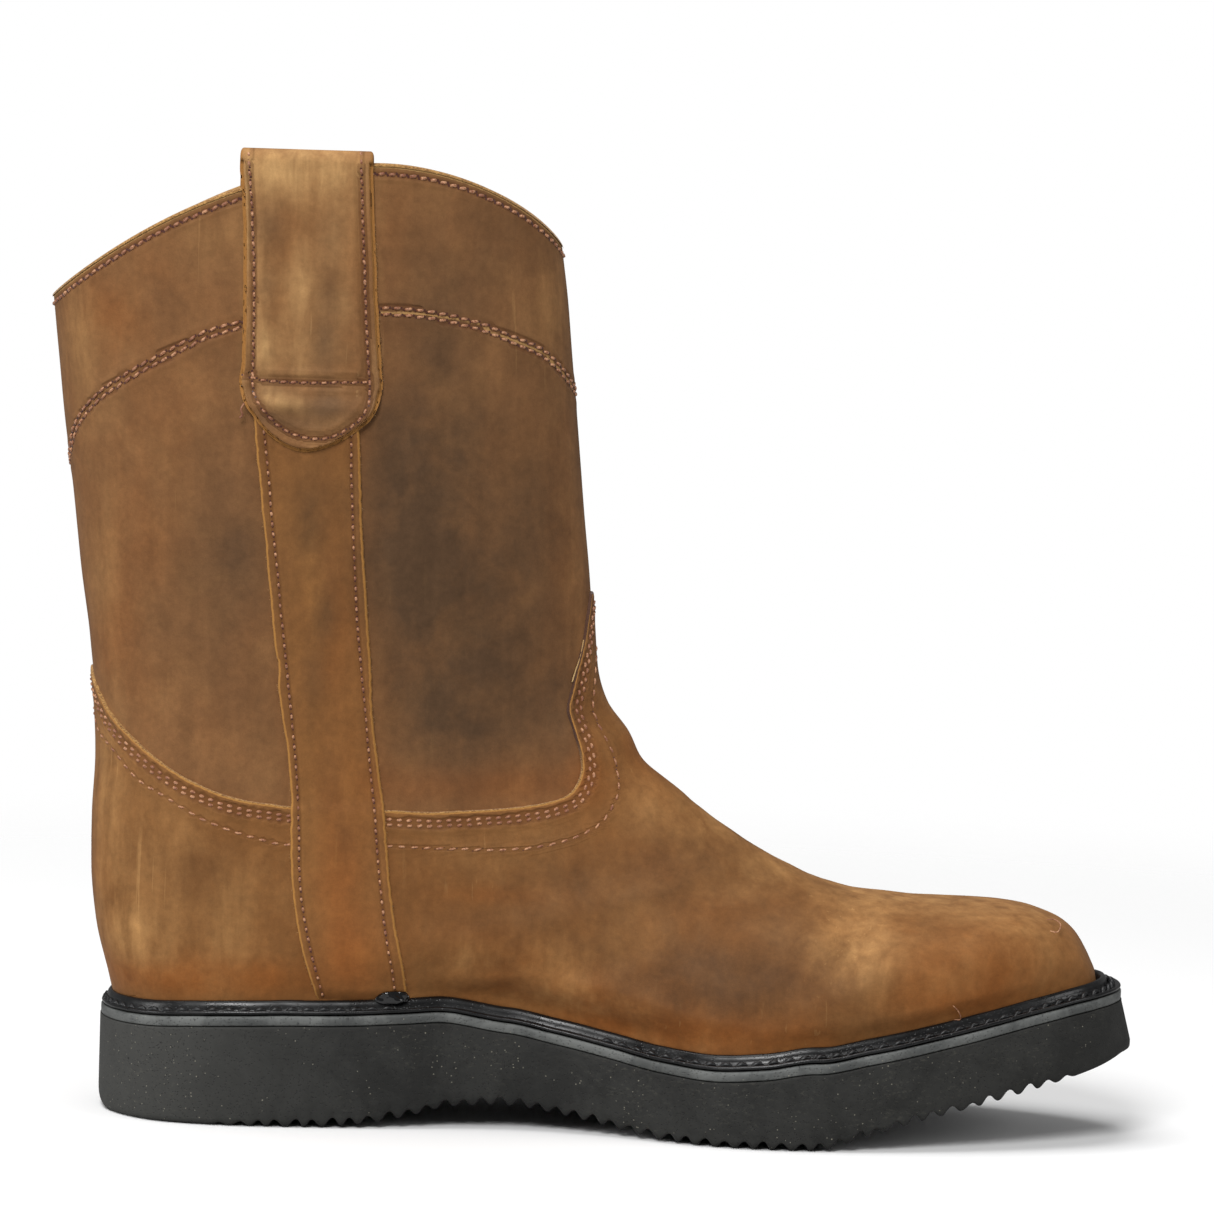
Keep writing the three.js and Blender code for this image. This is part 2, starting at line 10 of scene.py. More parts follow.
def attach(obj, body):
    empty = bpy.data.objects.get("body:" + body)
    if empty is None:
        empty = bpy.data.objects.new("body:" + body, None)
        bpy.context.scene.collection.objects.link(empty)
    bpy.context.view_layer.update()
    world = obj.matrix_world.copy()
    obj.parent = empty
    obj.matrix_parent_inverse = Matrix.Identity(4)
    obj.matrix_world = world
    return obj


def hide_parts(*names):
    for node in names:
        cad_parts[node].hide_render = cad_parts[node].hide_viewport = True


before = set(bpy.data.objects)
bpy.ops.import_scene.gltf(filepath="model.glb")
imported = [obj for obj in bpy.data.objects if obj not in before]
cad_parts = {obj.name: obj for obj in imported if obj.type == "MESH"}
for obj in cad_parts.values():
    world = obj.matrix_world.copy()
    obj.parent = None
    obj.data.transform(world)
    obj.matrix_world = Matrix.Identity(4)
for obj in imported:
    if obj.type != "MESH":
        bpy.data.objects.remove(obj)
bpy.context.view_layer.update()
dice = np.random.default_rng(11)  # fixed, so that every run makes the same boot

# Lengths are in mm here: x from the back of the sole to the toe, y towards the little toe, z up.
boot = {
    "middle": (-144.551, -2.085, 0.0),  # brings the footprint's middle to the origin
    "soleLength": 308.0,
    "topLength": 305.0,
    "soleWidth": 105.0,
    "heelThickness": 29.4,
    "toeSpring": 27.0,
    "toeLean": 3.0,
    "midsole": 2.9,
    "weltAtHeel": 4.8,
    "weltAtToe": 7.5,
    "weltEdge": 1.2,
    "weltToUpper": 0.4,
    "upperHeight": 251.0,
    "shaftWidth": 88.0,
    "gap": 0.3,             # between one layer and the next
    "heelShare": 0.0157,    # where the upper meets the welt at the heel and the toe, in the shares of upperRows
    "toeShare": 0.9754,
}

# Where the picture was taken from, in the same mm; pixels are those of a 1214 x 1214 picture.
view = {
    "place": (147.7985, -1900.0, 330.0),
    "pitch": 0.0927928,
    "roll": 0.0310062,
    "focal": 6412.405,
    "pixels": 1214,
    "shaftColumn": 330,     # a column of pixels that is always on the shaft
}


def smoothStep(t):
    t = np.clip(t, 0, 1)
    return t * t * (3 - 2 * t)


def blend(a, b, t):
    return a + (b - a) * t


# A cubic through the knots that never overshoots them.
def smoothCurve(xs, ys):
    xs = np.asarray(xs, float)
    ys = np.asarray(ys, float)
    step = np.diff(xs)
    slope = np.diff(ys) / step
    product = slope[:-1] * slope[1:]
    total = np.where(product > 0, slope[:-1] + slope[1:], 1)
    grade = np.concatenate([slope[:1], np.where(product > 0, 2 * product / total, 0), slope[-1:]])

    def at(x):
        x = np.clip(x, xs[0], xs[-1])
        i = np.clip(np.searchsorted(xs, x, side="right") - 1, 0, len(xs) - 2)
        t = (x - xs[i]) / step[i]
        rise = (ys[i + 1] - ys[i]) * t * t * (3 - 2 * t)
        return ys[i] + rise + step[i] * t * (1 - t) * ((1 - t) * grade[i] - t * grade[i + 1])

    return at


# Columns: place along the top, centre and half width over soleWidth, lift over toeSpring,
# thickness over heelThickness.
soleRows = np.array([
    (0.012, 0.0, 0.152, 0, 0.929),
    (0.05, 0.002, 0.289, 0, 0.946),
    (0.1, 0.005, 0.346, 0, 0.98),
    (0.15, 0.006, 0.361, 0, 1.003),
    (0.2, 0.01, 0.358, 0, 1.017),
    (0.25, 0.012, 0.349, 0.026, 1.003),
    (0.3, 0.022, 0.339, 0.111, 0.949),
    (0.35, 0.036, 0.331, 0.244, 0.837),
    (0.4, 0.049, 0.335, 0.27, 0.728),
    (0.45, 0.058, 0.356, 0.2, 0.697),
    (0.5, 0.058, 0.394, 0.107, 0.684),
    (0.55, 0.044, 0.442, 0.022, 0.67),
    (0.6, 0.029, 0.484, 0, 0.65),
    (0.65, 0.021, 0.501, 0, 0.69),
    (0.7, 0.017, 0.497, 0, 0.769),
    (0.75, 0.012, 0.477, 0.163, 0.714),
    (0.8, 0.01, 0.448, 0.33, 0.67),
    (0.85, 0.004, 0.404, 0.474, 0.66),
    (0.9, -0.005, 0.345, 0.63, 0.646),
    (0.94, -0.011, 0.284, 0.763, 0.616),
    (0.97, -0.019, 0.214, 0.874, 0.568),
    (0.99, -0.025, 0.131, 0.96, 0.515),
])
topLength = boot["topLength"]
soleAt = soleRows[:, 0]
soleMid = smoothCurve(soleAt, soleRows[:, 1] * boot["soleWidth"])
soleFullness = smoothCurve(soleAt, (soleRows[:, 2] * boot["soleWidth"]) ** 2 / (soleAt * (1 - soleAt)))
soleLift = smoothCurve(soleAt, soleRows[:, 3] * boot["toeSpring"])
soleThick = smoothCurve(soleAt, soleRows[:, 4] * boot["heelThickness"])


def soleEdge(at, side):
    return soleMid(at) + side * np.sqrt(np.maximum(soleFullness(at) * at * (1 - at), 0))


def soleTop(x):
    return soleLift(x / topLength) + soleThick(x / topLength)


def midsoleTop(x):
    return soleTop(x) + boot["gap"] + boot["midsole"]


def seat(x):
    return midsoleTop(x) + 2 * boot["gap"] + boot["weltEdge"] + boot["weltToUpper"]


# One side of the sole's outline, moved inwards by inset(x).
def insetSide(inset, side, count=240):
    at = (1 - np.cos(np.pi * np.linspace(0, 1, count + 1))) / 2
    x = topLength * at
    y = soleEdge(at, side)
    dx = np.gradient(x)
    dy = np.gradient(y)
    dx[[0, -1]] = 0
    dy[[0, -1]] = (side, -side)
    d = inset(x) / np.hypot(dx, dy)
    return x + side * dy * d, y - side * dx * d


def weltWidth(x):
    return blend(boot["weltAtHeel"], boot["weltAtToe"], smoothStep(x / topLength / 0.9))


featherInner = insetSide(weltWidth, -1)
featherOuter = insetSide(weltWidth, 1)
featherStart = featherInner[0][0]
featherEnd = featherInner[0][-1]
heelGrow = smoothCurve([0, 4, 11, 24], [0, 1.05, 2.9, 4.6])  # the heel's swell at heights over the seat


def along(share):
    t = (share - boot["heelShare"]) / (boot["toeShare"] - boot["heelShare"])
    return blend(featherStart, featherEnd, t)


# The wall's y near the seat, for leather that has swelled by so much over the welt.
def wallAt(x, grow, side):
    at = x + grow * np.clip(1 - (x - featherStart) / 60, 0, 1)
    inner = np.interp(at, *featherInner)
    outer = np.interp(at, *featherOuter)
    return np.where(side < 0, inner, outer) * (1 + grow / 34)


# Sections of the upper from the collar down, round the heel and on to the toe. Columns: x of the back
# end, its rise, x of the front end, its rise, half width, centre, centre at the front line, where it is
# widest, squareness of the low and the top arc, bow.
upperRows = np.array([
    (-0.062, 0.83, 0.431, 0.905, 0.5, 0, 0, 0.5, 2.3, 2.2, 0.119),
    (-0.056, 0.766, 0.438, 0.845, 0.495, 0, 0, 0.5, 2.3, 2.2, 0.109),
    (-0.049, 0.69, 0.445, 0.767, 0.489, 0, 0, 0.5, 2.3, 2.2, 0.092),
    (-0.039, 0.603, 0.453, 0.685, 0.48, 0, 0, 0.49, 2.3, 2.2, 0.072),
    (-0.03, 0.515, 0.46, 0.603, 0.466, 0, 0, 0.48, 2.3, 2.15, 0.044),
    (-0.019, 0.431, 0.467, 0.529, 0.449, 0, 0, 0.46, 2.3, 2.1, 0.02),
    (-0.012, 0.356, 0.472, 0.466, 0.432, 0.006, 0, 0.44, 2.3, 2.05, 0.008),
    (-0.0085, 0.284, 0.476, 0.421, 0.418, 0.006, -0.011, 0.42, 2.35, 2, 0),
    (-0.0105, 0.22, 0.487, 0.382, 0.411, 0.006, -0.017, 0.39, 2.4, 1.95, 0),
    (-0.0095, 0.157, 0.508, 0.351, 0.409, 0.006, -0.023, 0.36, 2.45, 1.9, 0),
    (-0.004, 0.097, 0.522, 0.325, 0.409, 0.006, -0.028, 0.33, 2.5, 1.9, 0),
    (0.006, 0.045, 0.544, 0.305, 0.409, 0.007, -0.034, 0.31, 2.6, 1.9, 0),
    (0.0157, 0, 0.564, 0.289, 0.409, 0.008, -0.04, 0.3, 2.6, 1.9, 0),
    (0.02, 0, 0.572, 0.282, 0.409, 0.008, -0.042, 0.29, 2.6, 1.9, 0),
    (0.033, 0, 0.582, 0.275, 0.409, 0.009, -0.045, 0.28, 2.6, 1.9, 0),
    (0.056, 0, 0.595, 0.265, 0.409, 0.01, -0.048, 0.27, 2.5, 1.9, 0),
    (0.092, 0, 0.61, 0.254, 0.409, 0.011, -0.051, 0.26, 2.4, 1.9, 0),
    (0.144, 0, 0.628, 0.239, 0.409, 0.014, -0.055, 0.25, 2.3, 1.95, 0),
    (0.21, 0, 0.648, 0.223, 0.409, 0.02, -0.057, 0.25, 2.3, 2, 0),
    (0.282, 0, 0.669, 0.206, 0.415, 0.032, -0.057, 0.26, 2.3, 2, 0),
    (0.354, 0, 0.69, 0.189, 0.426, 0.045, -0.055, 0.28, 2.3, 2.05, 0),
    (0.426, 0, 0.713, 0.178, 0.46, 0.051, -0.048, 0.28, 2.3, 2.1, 0),
    (0.498, 0, 0.738, 0.164, 0.5, 0.045, -0.041, 0.26, 2.3, 2.15, 0),
    (0.57, 0, 0.764, 0.153, 0.528, 0.034, -0.034, 0.25, 2.3, 2.2, 0),
    (0.643, 0, 0.793, 0.142, 0.534, 0.025, -0.028, 0.25, 2.3, 2.25, 0),
    (0.708, 0, 0.823, 0.133, 0.517, 0.018, -0.023, 0.25, 2.3, 2.3, 0),
    (0.767, 0, 0.852, 0.124, 0.483, 0.013, -0.02, 0.26, 2.3, 2.35, 0),
    (0.82, 0, 0.88, 0.114, 0.438, 0.007, -0.018, 0.28, 2.3, 2.4, 0),
    (0.862, 0, 0.902, 0.104, 0.381, 0.001, -0.018, 0.3, 2.3, 2.4, 0),
    (0.898, 0, 0.921, 0.092, 0.318, -0.006, -0.018, 0.33, 2.3, 2.4, 0),
    (0.928, 0, 0.938, 0.079, 0.244, -0.011, -0.02, 0.36, 2.3, 2.4, 0),
    (0.949, 0, 0.952, 0.062, 0.17, -0.017, -0.023, 0.38, 2.3, 2.3, 0),
    (0.964, 0, 0.963, 0.039, 0.091, -0.023, -0.026, 0.4, 2.3, 2.2, 0),
    (0.9725, 0, 0.971, 0.018, 0.023, -0.027, -0.03, 0.42, 2.3, 2.1, 0),
])
firstOpen = 12
rowNumbers = np.arange(len(upperRows))
inMm = upperRows.copy()
inMm[:, [0, 2]] = along(inMm[:, [0, 2]])
inMm[:, [1, 3, 10]] *= boot["upperHeight"]
inMm[:, 4:7] *= boot["shaftWidth"]
upperCurves = [smoothCurve(rowNumbers, inMm[:, k]) for k in range(inMm.shape[1])]


# Points of the upper's outer face. number: row numbers; u runs from -2 at the inner side's back or
# seat, over 0 at the front line, to 2 on the outer side.
def upperPoints(number, u):
    number = np.asarray(number, float)[:, None]
    back, backRise, front, frontRise, half, mid, crest, widest, low, top, bow = (c(number) for c in upperCurves)
    isOpen = number >= firstOpen
    inner = np.where(isOpen, np.interp(back, *featherInner), 0)
    outer = np.where(isOpen, np.interp(back, *featherOuter), 0)
    base = (outer - inner) / 2
    baseMid = (inner + outer) / 2
    half = (half ** 24 + (1.03 * base) ** 24) ** (1 / 24)
    side = np.where(u[None, :] < 0, -1.0, 1.0)
    v = 2 - np.abs(u)[None, :]
    even = 0.6 * np.clip(number - firstOpen + 1, 0, 1)
    lowShare = widest * blend(1 - np.cos(np.pi * v / 2), v, even)
    share = np.where(v <= 1, lowShare, blend(widest, 1, np.sin(np.pi * (v - 1) / 2)))
    # the upper arc of the section
    t = np.clip((share - widest) / (1 - widest), 0, 1)
    topHalf = half * np.maximum(1 - t ** top, 0) ** (1 / top)
    topMid = blend(mid, crest, t ** 1.5)
    # the lower arc, down to the feather line
    t = np.clip(1 - share / widest, 0, 1)
    cut = (1 - np.minimum(base / half, 1) ** low) ** (1 / low)
    arc = half * np.maximum(1 - (cut * t) ** low, 0) ** (1 / low)
    wall = blend(base, half, smoothStep(1 - t))
    upright = np.where(base / half > 0.6, smoothStep((back / topLength - 0.2) / 0.2), 0)
    lowHalf = blend(arc, wall, upright)
    lowMid = blend(mid, baseMid, t ** 2)
    isTop = share >= widest
    y = np.where(isTop, topMid + side * topHalf, lowMid + side * lowHalf)
    zBack = seat(back) + backRise
    zFront = seat(front) + frontRise
    lift = bow * (4 * share ** 1.25 * (1 - share ** 1.25)) ** 0.75
    length = np.hypot(front - back, zFront - zBack)
    x = blend(back, front, share) - (zFront - zBack) / length * lift
    z = blend(zBack, zFront, share) + (front - back) / length * lift
    height = z - seat(x)
    heel = smoothStep((150 - x) / 60)
    nearSeat = smoothStep(1 - (height - 1.5) / 10) * np.clip(1 - share / widest, 0, 1)
    y = blend(y, wallAt(x, 0.2 * np.maximum(height, 0), side), nearSeat)
    slip = np.where(isOpen, 0, back + heelGrow(backRise) - featherStart)
    heelX = x - slip * np.clip(1 - (x - back) / 15, 0, 1)
    y = blend(y, wallAt(heelX, heelGrow(height), side), heel * smoothStep(1 - height / 22))
    return np.stack([x, y, z], -1)


# Outward normals of a grid of the upper; rows above the seat close round the heel.
def upperNormals(points, number):
    down = np.gradient(points, axis=0)
    across = np.gradient(points, axis=1)
    closed = number < firstOpen
    across[closed, 0] = across[closed, -1] = (points[closed, 1] - points[closed, -2]) / 2
    normal = np.cross(down, across)
    normal /= np.maximum(np.linalg.norm(normal, axis=-1, keepdims=True), 1e-9)
    return normal


def rayOf(px, py):
    uu = px - view["pixels"] / 2
    vv = view["pixels"] / 2 - py
    c, s = math.cos(view["roll"]), math.sin(view["roll"])
    u = uu * c - vv * s
    v = uu * s + vv * c
    c, s = math.cos(view["pitch"]), math.sin(view["pitch"])
    return np.array([u, view["focal"] * c + v * s, -view["focal"] * s + v * c])


# x and z of a pixel on the boot's near side.
def nearSide(px, py, y=-42.0):
    ray = rayOf(px, py)
    t = (y - view["place"][1]) / ray[1]
    return view["place"][0] + ray[0] * t, view["place"][2] + ray[2] * t


print("shape tables ready")


# Meshes are made in mm and stored in metres, with the object at the origin.
def inMetres(points):
    return (np.asarray(points, float) + boot["middle"]) / 1000


def makeMesh(name, points, faces, material, values=None, weld=False):
    mesh = bpy.data.meshes.new(name)
    mesh.from_pydata(inMetres(points).tolist(), [], [list(map(int, f)) for f in faces])
    for key, numbers in (values or {}).items():
        layer = mesh.attributes.new(key, "FLOAT", "POINT")
        layer.data.foreach_set("value", np.asarray(numbers, np.float32).ravel())
    if weld:
        weldMesh(mesh)
    mesh.polygons.foreach_set("use_smooth", [True] * len(mesh.polygons))
    mesh.materials.append(material)
    piece = bpy.data.objects.new(name, mesh)
    bpy.context.scene.collection.objects.link(piece)
    return piece


def weldMesh(mesh):
    work = bmesh.new()
    work.from_mesh(mesh)
    bmesh.ops.remove_doubles(work, verts=work.verts, dist=2e-6)
    work.to_mesh(mesh)
    work.free()


# Quads of a grid of rows x columns; wrapRows and wrapColumns join the last line to the first.
def gridFaces(rows, columns, wrapRows=False, wrapColumns=False, flip=False):
    i = np.arange(rows if wrapRows else rows - 1)
    j = np.arange(columns if wrapColumns else columns - 1)
    i, j = (k.ravel() for k in np.meshgrid(i, j, indexing="ij"))
    nextI, nextJ = (i + 1) % rows, (j + 1) % columns
    quad = [i * columns + j, i * columns + nextJ, nextI * columns + nextJ, nextI * columns + j]
    return np.stack(quad[::-1] if flip else quad, 1)


# Several (points, faces) as one.
def joinParts(parts):
    points, faces, count = [], [], 0
    for p, f in parts:
        points.append(np.asarray(p, float).reshape(-1, 3))
        faces += [[k + count for k in face] for face in f]
        count += len(points[-1])
    return np.concatenate(points), faces


# Evenly spaced points on a line, with anything that runs along with it.
def resample(line, step, *others):
    line = np.asarray(line, float)
    run = np.concatenate([[0], np.cumsum(np.linalg.norm(np.diff(line, axis=0), axis=1))])
    count = max(int(round(run[-1] / step)), 1)
    at = np.linspace(0, run[-1], count + 1)
    made = [np.stack([np.interp(at, run, a[:, k]) for k in range(a.shape[1])], 1) for a in (line, *others)]
    return made if others else made[0]


# A soft curve through its points.
def throughPoints(line, fine=24):
    line = np.asarray(line, float)
    run = np.concatenate([[0], np.cumsum(np.sqrt(np.linalg.norm(np.diff(line, axis=0), axis=1)))])
    padded = np.concatenate([[2 * line[0] - line[1]], line, [2 * line[-1] - line[-2]]])
    out = []
    for k in range(len(line) - 1):
        h = run[k + 1] - run[k]
        before = run[k] - run[k - 1] if k else h
        after = run[k + 2] - run[k + 1] if k + 2 < len(run) else h
        p0, p1, p2, p3 = padded[k:k + 4]
        m1 = ((p1 - p0) / before - (p2 - p0) / (before + h) + (p2 - p1) / h) * h
        m2 = ((p2 - p1) / h - (p3 - p1) / (h + after) + (p3 - p2) / after) * h
        t = np.linspace(0, 1, fine, endpoint=False)[:, None]
        out.append((2 * t ** 3 - 3 * t ** 2 + 1) * p1 + (t ** 3 - 2 * t ** 2 + t) * m1
                   + (3 * t ** 2 - 2 * t ** 3) * p2 + (t ** 3 - t ** 2) * m2)
    return np.concatenate(out + [line[-1:]])


# Soft troughs and ridges of the worn leather: two ends in picture pixels, half width and depth in mm.
creases = [
    ((600, 690), (560, 800), 7, 0.5),
    ((642, 762), (610, 850), 8, 0.7),
    ((655, 790), (680, 900), 9, -0.5),
    ((590, 640), (520, 720), 9, 0.35),
    ((95, 700), (170, 760), 9, 0.35),
    ((100, 640), (150, 700), 9, -0.3),
    ((865, 900), (840, 990), 6, 0.25),
    ((835, 890), (815, 1000), 7, 0.2),
    ((900, 905), (880, 985), 6, -0.2),
    ((760, 850), (720, 960), 10, 0.35),
    ((430, 230), (460, 330), 16, 0.4),
    ((150, 470), (200, 640), 18, 0.5),
    ((520, 420), (470, 640), 18, 0.55),
    ((430, 640), (560, 720), 14, 0.4),
]


def creaseDepth(points):
    x, z = points[..., 0], points[..., 2]
    total = np.zeros(x.shape)
    for one, two, width, depth in creases:
        a, b = np.array(nearSide(*one)), np.array(nearSide(*two))
        d = b - a
        t = ((x - a[0]) * d[0] + (z - a[1]) * d[1]) / (d @ d)
        off = np.hypot(x - a[0] - t.clip(0, 1) * d[0], z - a[1] - t.clip(0, 1) * d[1])
        total += depth * np.exp(-((off / width) ** 2)) * smoothStep(1.2 - 1.6 * np.abs(t - 0.5))
    return total


# Slow waves of the leather, the same on every run.
def softWaves(points, size, seed):
    draw = np.random.default_rng(seed)
    total = np.zeros(points.shape[:-1])
    for wave in range(7):
        way = draw.normal(size=3)
        way *= (0.6 + 0.9 * draw.random()) * 2 * math.pi / size / np.linalg.norm(way)
        total += np.sin(points @ way + 6.28 * draw.random())
    return total / 7


upper = {
    "shaftSteps": 12, "footSteps": 11, "sideSteps": 124,  # mesh rows from one section to the next, columns of a side
    "tilt": 1.6,            # how much lower the collar's front lies on the outer side
    "slowWaves": 0.35,
    "quickWaves": 0.1,
    "calm": 14,             # height over the seat without waves
    "tipSteps": 6,
}
footRows = (len(upperRows) - 1 - firstOpen) * upper["footSteps"]
fineRows = np.concatenate([
    np.arange(0, firstOpen * upper["shaftSteps"]) / upper["shaftSteps"],
    firstOpen + np.arange(0, footRows + 1) / upper["footSteps"],
])
skin = upperPoints(fineRows, np.linspace(-2, 2, 2 * upper["sideSteps"] + 1))
skinNormal = upperNormals(skin, fineRows)
tilt = smoothStep((skin[..., 0] - 40) / 50) * smoothStep(1 - fineRows[:, None] / 3)
skin[..., 2] -= tilt * upper["tilt"] * skin[..., 1] / (boot["shaftWidth"] / 2)
relief = softWaves(skin, 55, 3) * upper["slowWaves"] + softWaves(skin, 24, 5) * upper["quickWaves"] - creaseDepth(skin)
calm = smoothStep((skin[..., 2] - seat(skin[..., 0])) / upper["calm"]) * smoothStep(fineRows / 0.7)[:, None]
skin += skinNormal * (relief * calm)[..., None]
skinNormal = upperNormals(skin, fineRows)

# the toe's very tip, from the last section down to the foot's edge
tip, tipNormal = skin[-1], skinNormal[-1]
tipFoot = np.interp(tip[:, 1], [tip[0, 1], tip[-1, 1]], [tip[0, 2], tip[-1, 2]]) - 0.6
share = np.linspace(0, 1, upper["tipSteps"] + 1)[1:, None, None]
tipLow = np.stack([tip[:, 0] + 0.6, tip[:, 1], tipFoot], 1)
capNormal = tipNormal * (1 - share) + np.array((1.0, 0.0, 0.05)) * share
skin = np.concatenate([skin, tip + (tipLow - tip) * share])
skinNormal = np.concatenate([skinNormal, capNormal / np.linalg.norm(capNormal, axis=-1, keepdims=True)])
skinShape = skin.shape[:2]
skinTree = BVHTree.FromPolygons(skin.reshape(-1, 3).tolist(), gridFaces(*skinShape).tolist())
print("upper skin:", skin.shape)


# Grid place of a picture's pixel on the upper, as fractional row and column. A pixel that just misses the
# upper is moved towards the shaft until it meets it.
def gridPlace(px, py):
    for pull in np.linspace(0, 0.12, 60):
        ray = Vector(rayOf(px + (view["shaftColumn"] - px) * pull, py)).normalized()
        hit, _, index, _ = skinTree.ray_cast(Vector(view["place"]), ray)
        if hit is not None:
            break
    i, j = divmod(index, skinShape[1] - 1)
    a, b, d = skin[i, j], skin[i, j + 1], skin[i + 1, j]
    basis = np.stack([d - a, b - a], 1)
    s, t = np.linalg.lstsq(basis, np.array(hit) - a, rcond=None)[0]
    return i + min(max(s, 0), 1), j + min(max(t, 0), 1)


# Point and normal of the upper at fractional rows and columns.
def onSkin(place):
    place = np.asarray(place, float)
    i = np.clip(place[:, 0], 0, skinShape[0] - 1.001)
    j = np.clip(place[:, 1], 0, skinShape[1] - 1.001)
    i0, j0 = i.astype(int), j.astype(int)
    s, t = (i - i0)[:, None], (j - j0)[:, None]

    def mix(grid):
        return (grid[i0, j0] * (1 - s) * (1 - t) + grid[i0 + 1, j0] * s * (1 - t)
                + grid[i0, j0 + 1] * (1 - s) * t + grid[i0 + 1, j0 + 1] * s * t)

    normal = mix(skinNormal)
    return mix(skin), normal / np.linalg.norm(normal, axis=1, keepdims=True)


# The same grid places on the outer side.
def mirrored(place):
    other = np.array(place, float)
    other[:, 1] = skinShape[1] - 1 - other[:, 1]
    return other


# A seam on the near side through picture pixels, as grid places a fraction of a mm apart.
def seamOnSkin(pixels):
    places = throughPoints([gridPlace(*p) for p in pixels], 16)
    # the picture hides the last bit to the middle of the back and of the front
    (i0, j0), (i1, j1) = places[0], places[20]
    slope = 0.6 * (i0 - i1) / (j0 - j1)
    back = [(i0 + slope * (j - j0), j) for j in np.linspace(0.02, j0, 8)[:-1]]
    front = [(places[-1, 0], j) for j in np.linspace(places[-1, 1], skinShape[1] // 2 - 0.02, 6)[1:]]
    places = np.concatenate([back, places, front])
    points = onSkin(places)[0]
    return resample(points, 0.5, places)[1]


# A line moved sideways over the upper by so many mm.
def besideOnSkin(points, normals, distance):
    way = np.gradient(points, axis=0)
    side = np.cross(normals, way)
    side /= np.maximum(np.linalg.norm(side, axis=1, keepdims=True), 1e-9)
    moved = points + side * distance
    found = [skinTree.find_nearest(Vector(p)) for p in moved]
    return np.array([f[0] for f in found]), normals


# The near side's seams from back to front, in picture pixels.
seams = {
    "vampEdge": [
        (93, 672), (98, 688), (111, 713), (140, 745), (188, 780), (235, 799), (286, 807), (335, 810),
        (384, 811), (430, 813), (477, 811), (525, 807), (553, 802), (568, 796), (578, 784), (582, 770),
        (581, 756), (577, 740), (571.5, 723), (568, 708), (572, 690), (578, 665), (583, 643), (587, 617), (590, 594),
    ],
    "vampSingleRow": [
        (97, 716), (100, 729), (114, 748), (136, 777), (165, 796), (203, 819), (239, 833), (283, 844),
        (335, 847), (388, 846), (460, 849), (496, 850), (537, 847), (571, 839), (596, 827), (613, 805),
        (618, 783), (613, 758), (604, 738), (595.5, 722), (591, 708), (592.5, 690), (593.5, 670), (595, 645),
    ],
    "bandSeam": [
        (70, 450), (76, 425), (98, 397), (135, 372), (176, 350), (208, 334), (241, 325), (310, 313),
        (382, 311), (429, 315), (469, 323), (514, 340), (547, 356), (567, 377), (578, 393),
    ],
}
seamPlaces = {name: seamOnSkin(pixels) for name, pixels in seams.items()}


# A seam on the inner and the outer side, each as points and normals from the back to the front.
def bothSides(name):
    place = seamPlaces[name]
    return [onSkin(place), onSkin(mirrored(place))]


# Distance of every point to the nearest of the lines, up to reach.
def distanceTo(points, lines, reach=30.0):
    knots = np.concatenate(lines)
    tree = kdtree.KDTree(len(knots))
    for n, p in enumerate(knots):
        tree.insert(p, n)
    tree.balance()
    flat = points.reshape(-1, 3)
    out = np.full(len(flat), reach)
    low = np.min([line.min(0) for line in lines], axis=0) - reach
    high = np.max([line.max(0) for line in lines], axis=0) + reach
    for k in np.nonzero(np.all((flat > low) & (flat < high), axis=1))[0]:
        out[k] = min(tree.find(flat[k])[2], reach)
    return out.reshape(points.shape[:-1])


# True where the foot's leather covers a grid place: inside the edge's polygon is the shaft.
def footSide():
    edge = seamPlaces["vampEdge"]
    half = skinShape[1] // 2
    ring = np.concatenate([[(-5, -5), (edge[0, 0], -5)], edge, [(edge[-1, 0], half + 1), (-5, half + 1)]])
    ii, jj = np.meshgrid(np.arange(skinShape[0]), np.arange(half + 1), indexing="ij")
    inside = np.zeros(ii.shape, bool)
    for (i1, j1), (i2, j2) in zip(ring, np.roll(ring, -1, axis=0)):
        if j1 == j2:
            continue
        hits = (j1 > jj) != (j2 > jj)
        inside ^= hits & (ii < (i2 - i1) * (jj - j1) / (j2 - j1) + i1)
    return np.concatenate([~inside, ~inside[:, :half][:, ::-1]], axis=1)


# mm inside the foot's leather, below 0 on the shaft
edgeAway = distanceTo(skin, [line for line, normal in bothSides("vampEdge")])
vampField = np.where(footSide(), edgeAway, -edgeAway)
print("seams placed")


# Keeps the part of a triangulated surface where field > 0, cut along its zero line.
def cutSurface(points, faces, field, values):
    points, field = np.asarray(points), np.asarray(field)
    packed = np.concatenate([points, np.stack(list(values.values()), 1)], 1)
    sign = field[faces] > 0
    whole = faces[sign.all(1)]
    crossing = faces[sign.any(1) & ~sign.all(1)]
    signs = field[crossing] > 0
    odd = np.where(signs.sum(1) == 1, signs.argmax(1), (~signs).argmax(1))
    rows = np.arange(len(crossing))
    a, b, c = (crossing[rows, (odd + k) % 3] for k in range(3))
    alone = signs.sum(1) == 1
    pairs = np.concatenate([np.stack([a, b], 1), np.stack([a, c], 1)])
    keys, back = np.unique(np.sort(pairs, 1), axis=0, return_inverse=True)
    t = field[keys[:, 0]] / (field[keys[:, 0]] - field[keys[:, 1]])
    fresh = packed[keys[:, 0]] * (1 - t[:, None]) + packed[keys[:, 1]] * t[:, None]
    back = back.reshape(-1) + len(points)
    ab, ac = back[:len(a)], back[len(a):]
    made = np.concatenate([
        whole,
        np.stack([a, ab, ac], 1)[alone],
        np.stack([ab, b, c], 1)[~alone],
        np.stack([ab, c, ac], 1)[~alone],
    ])
    packed = np.concatenate([packed, fresh])
    used, made = np.unique(made, return_inverse=True)
    packed = packed[used]
    return packed[:, :3], made.reshape(-1, 3), dict(zip(values, packed[:, 3:].T))


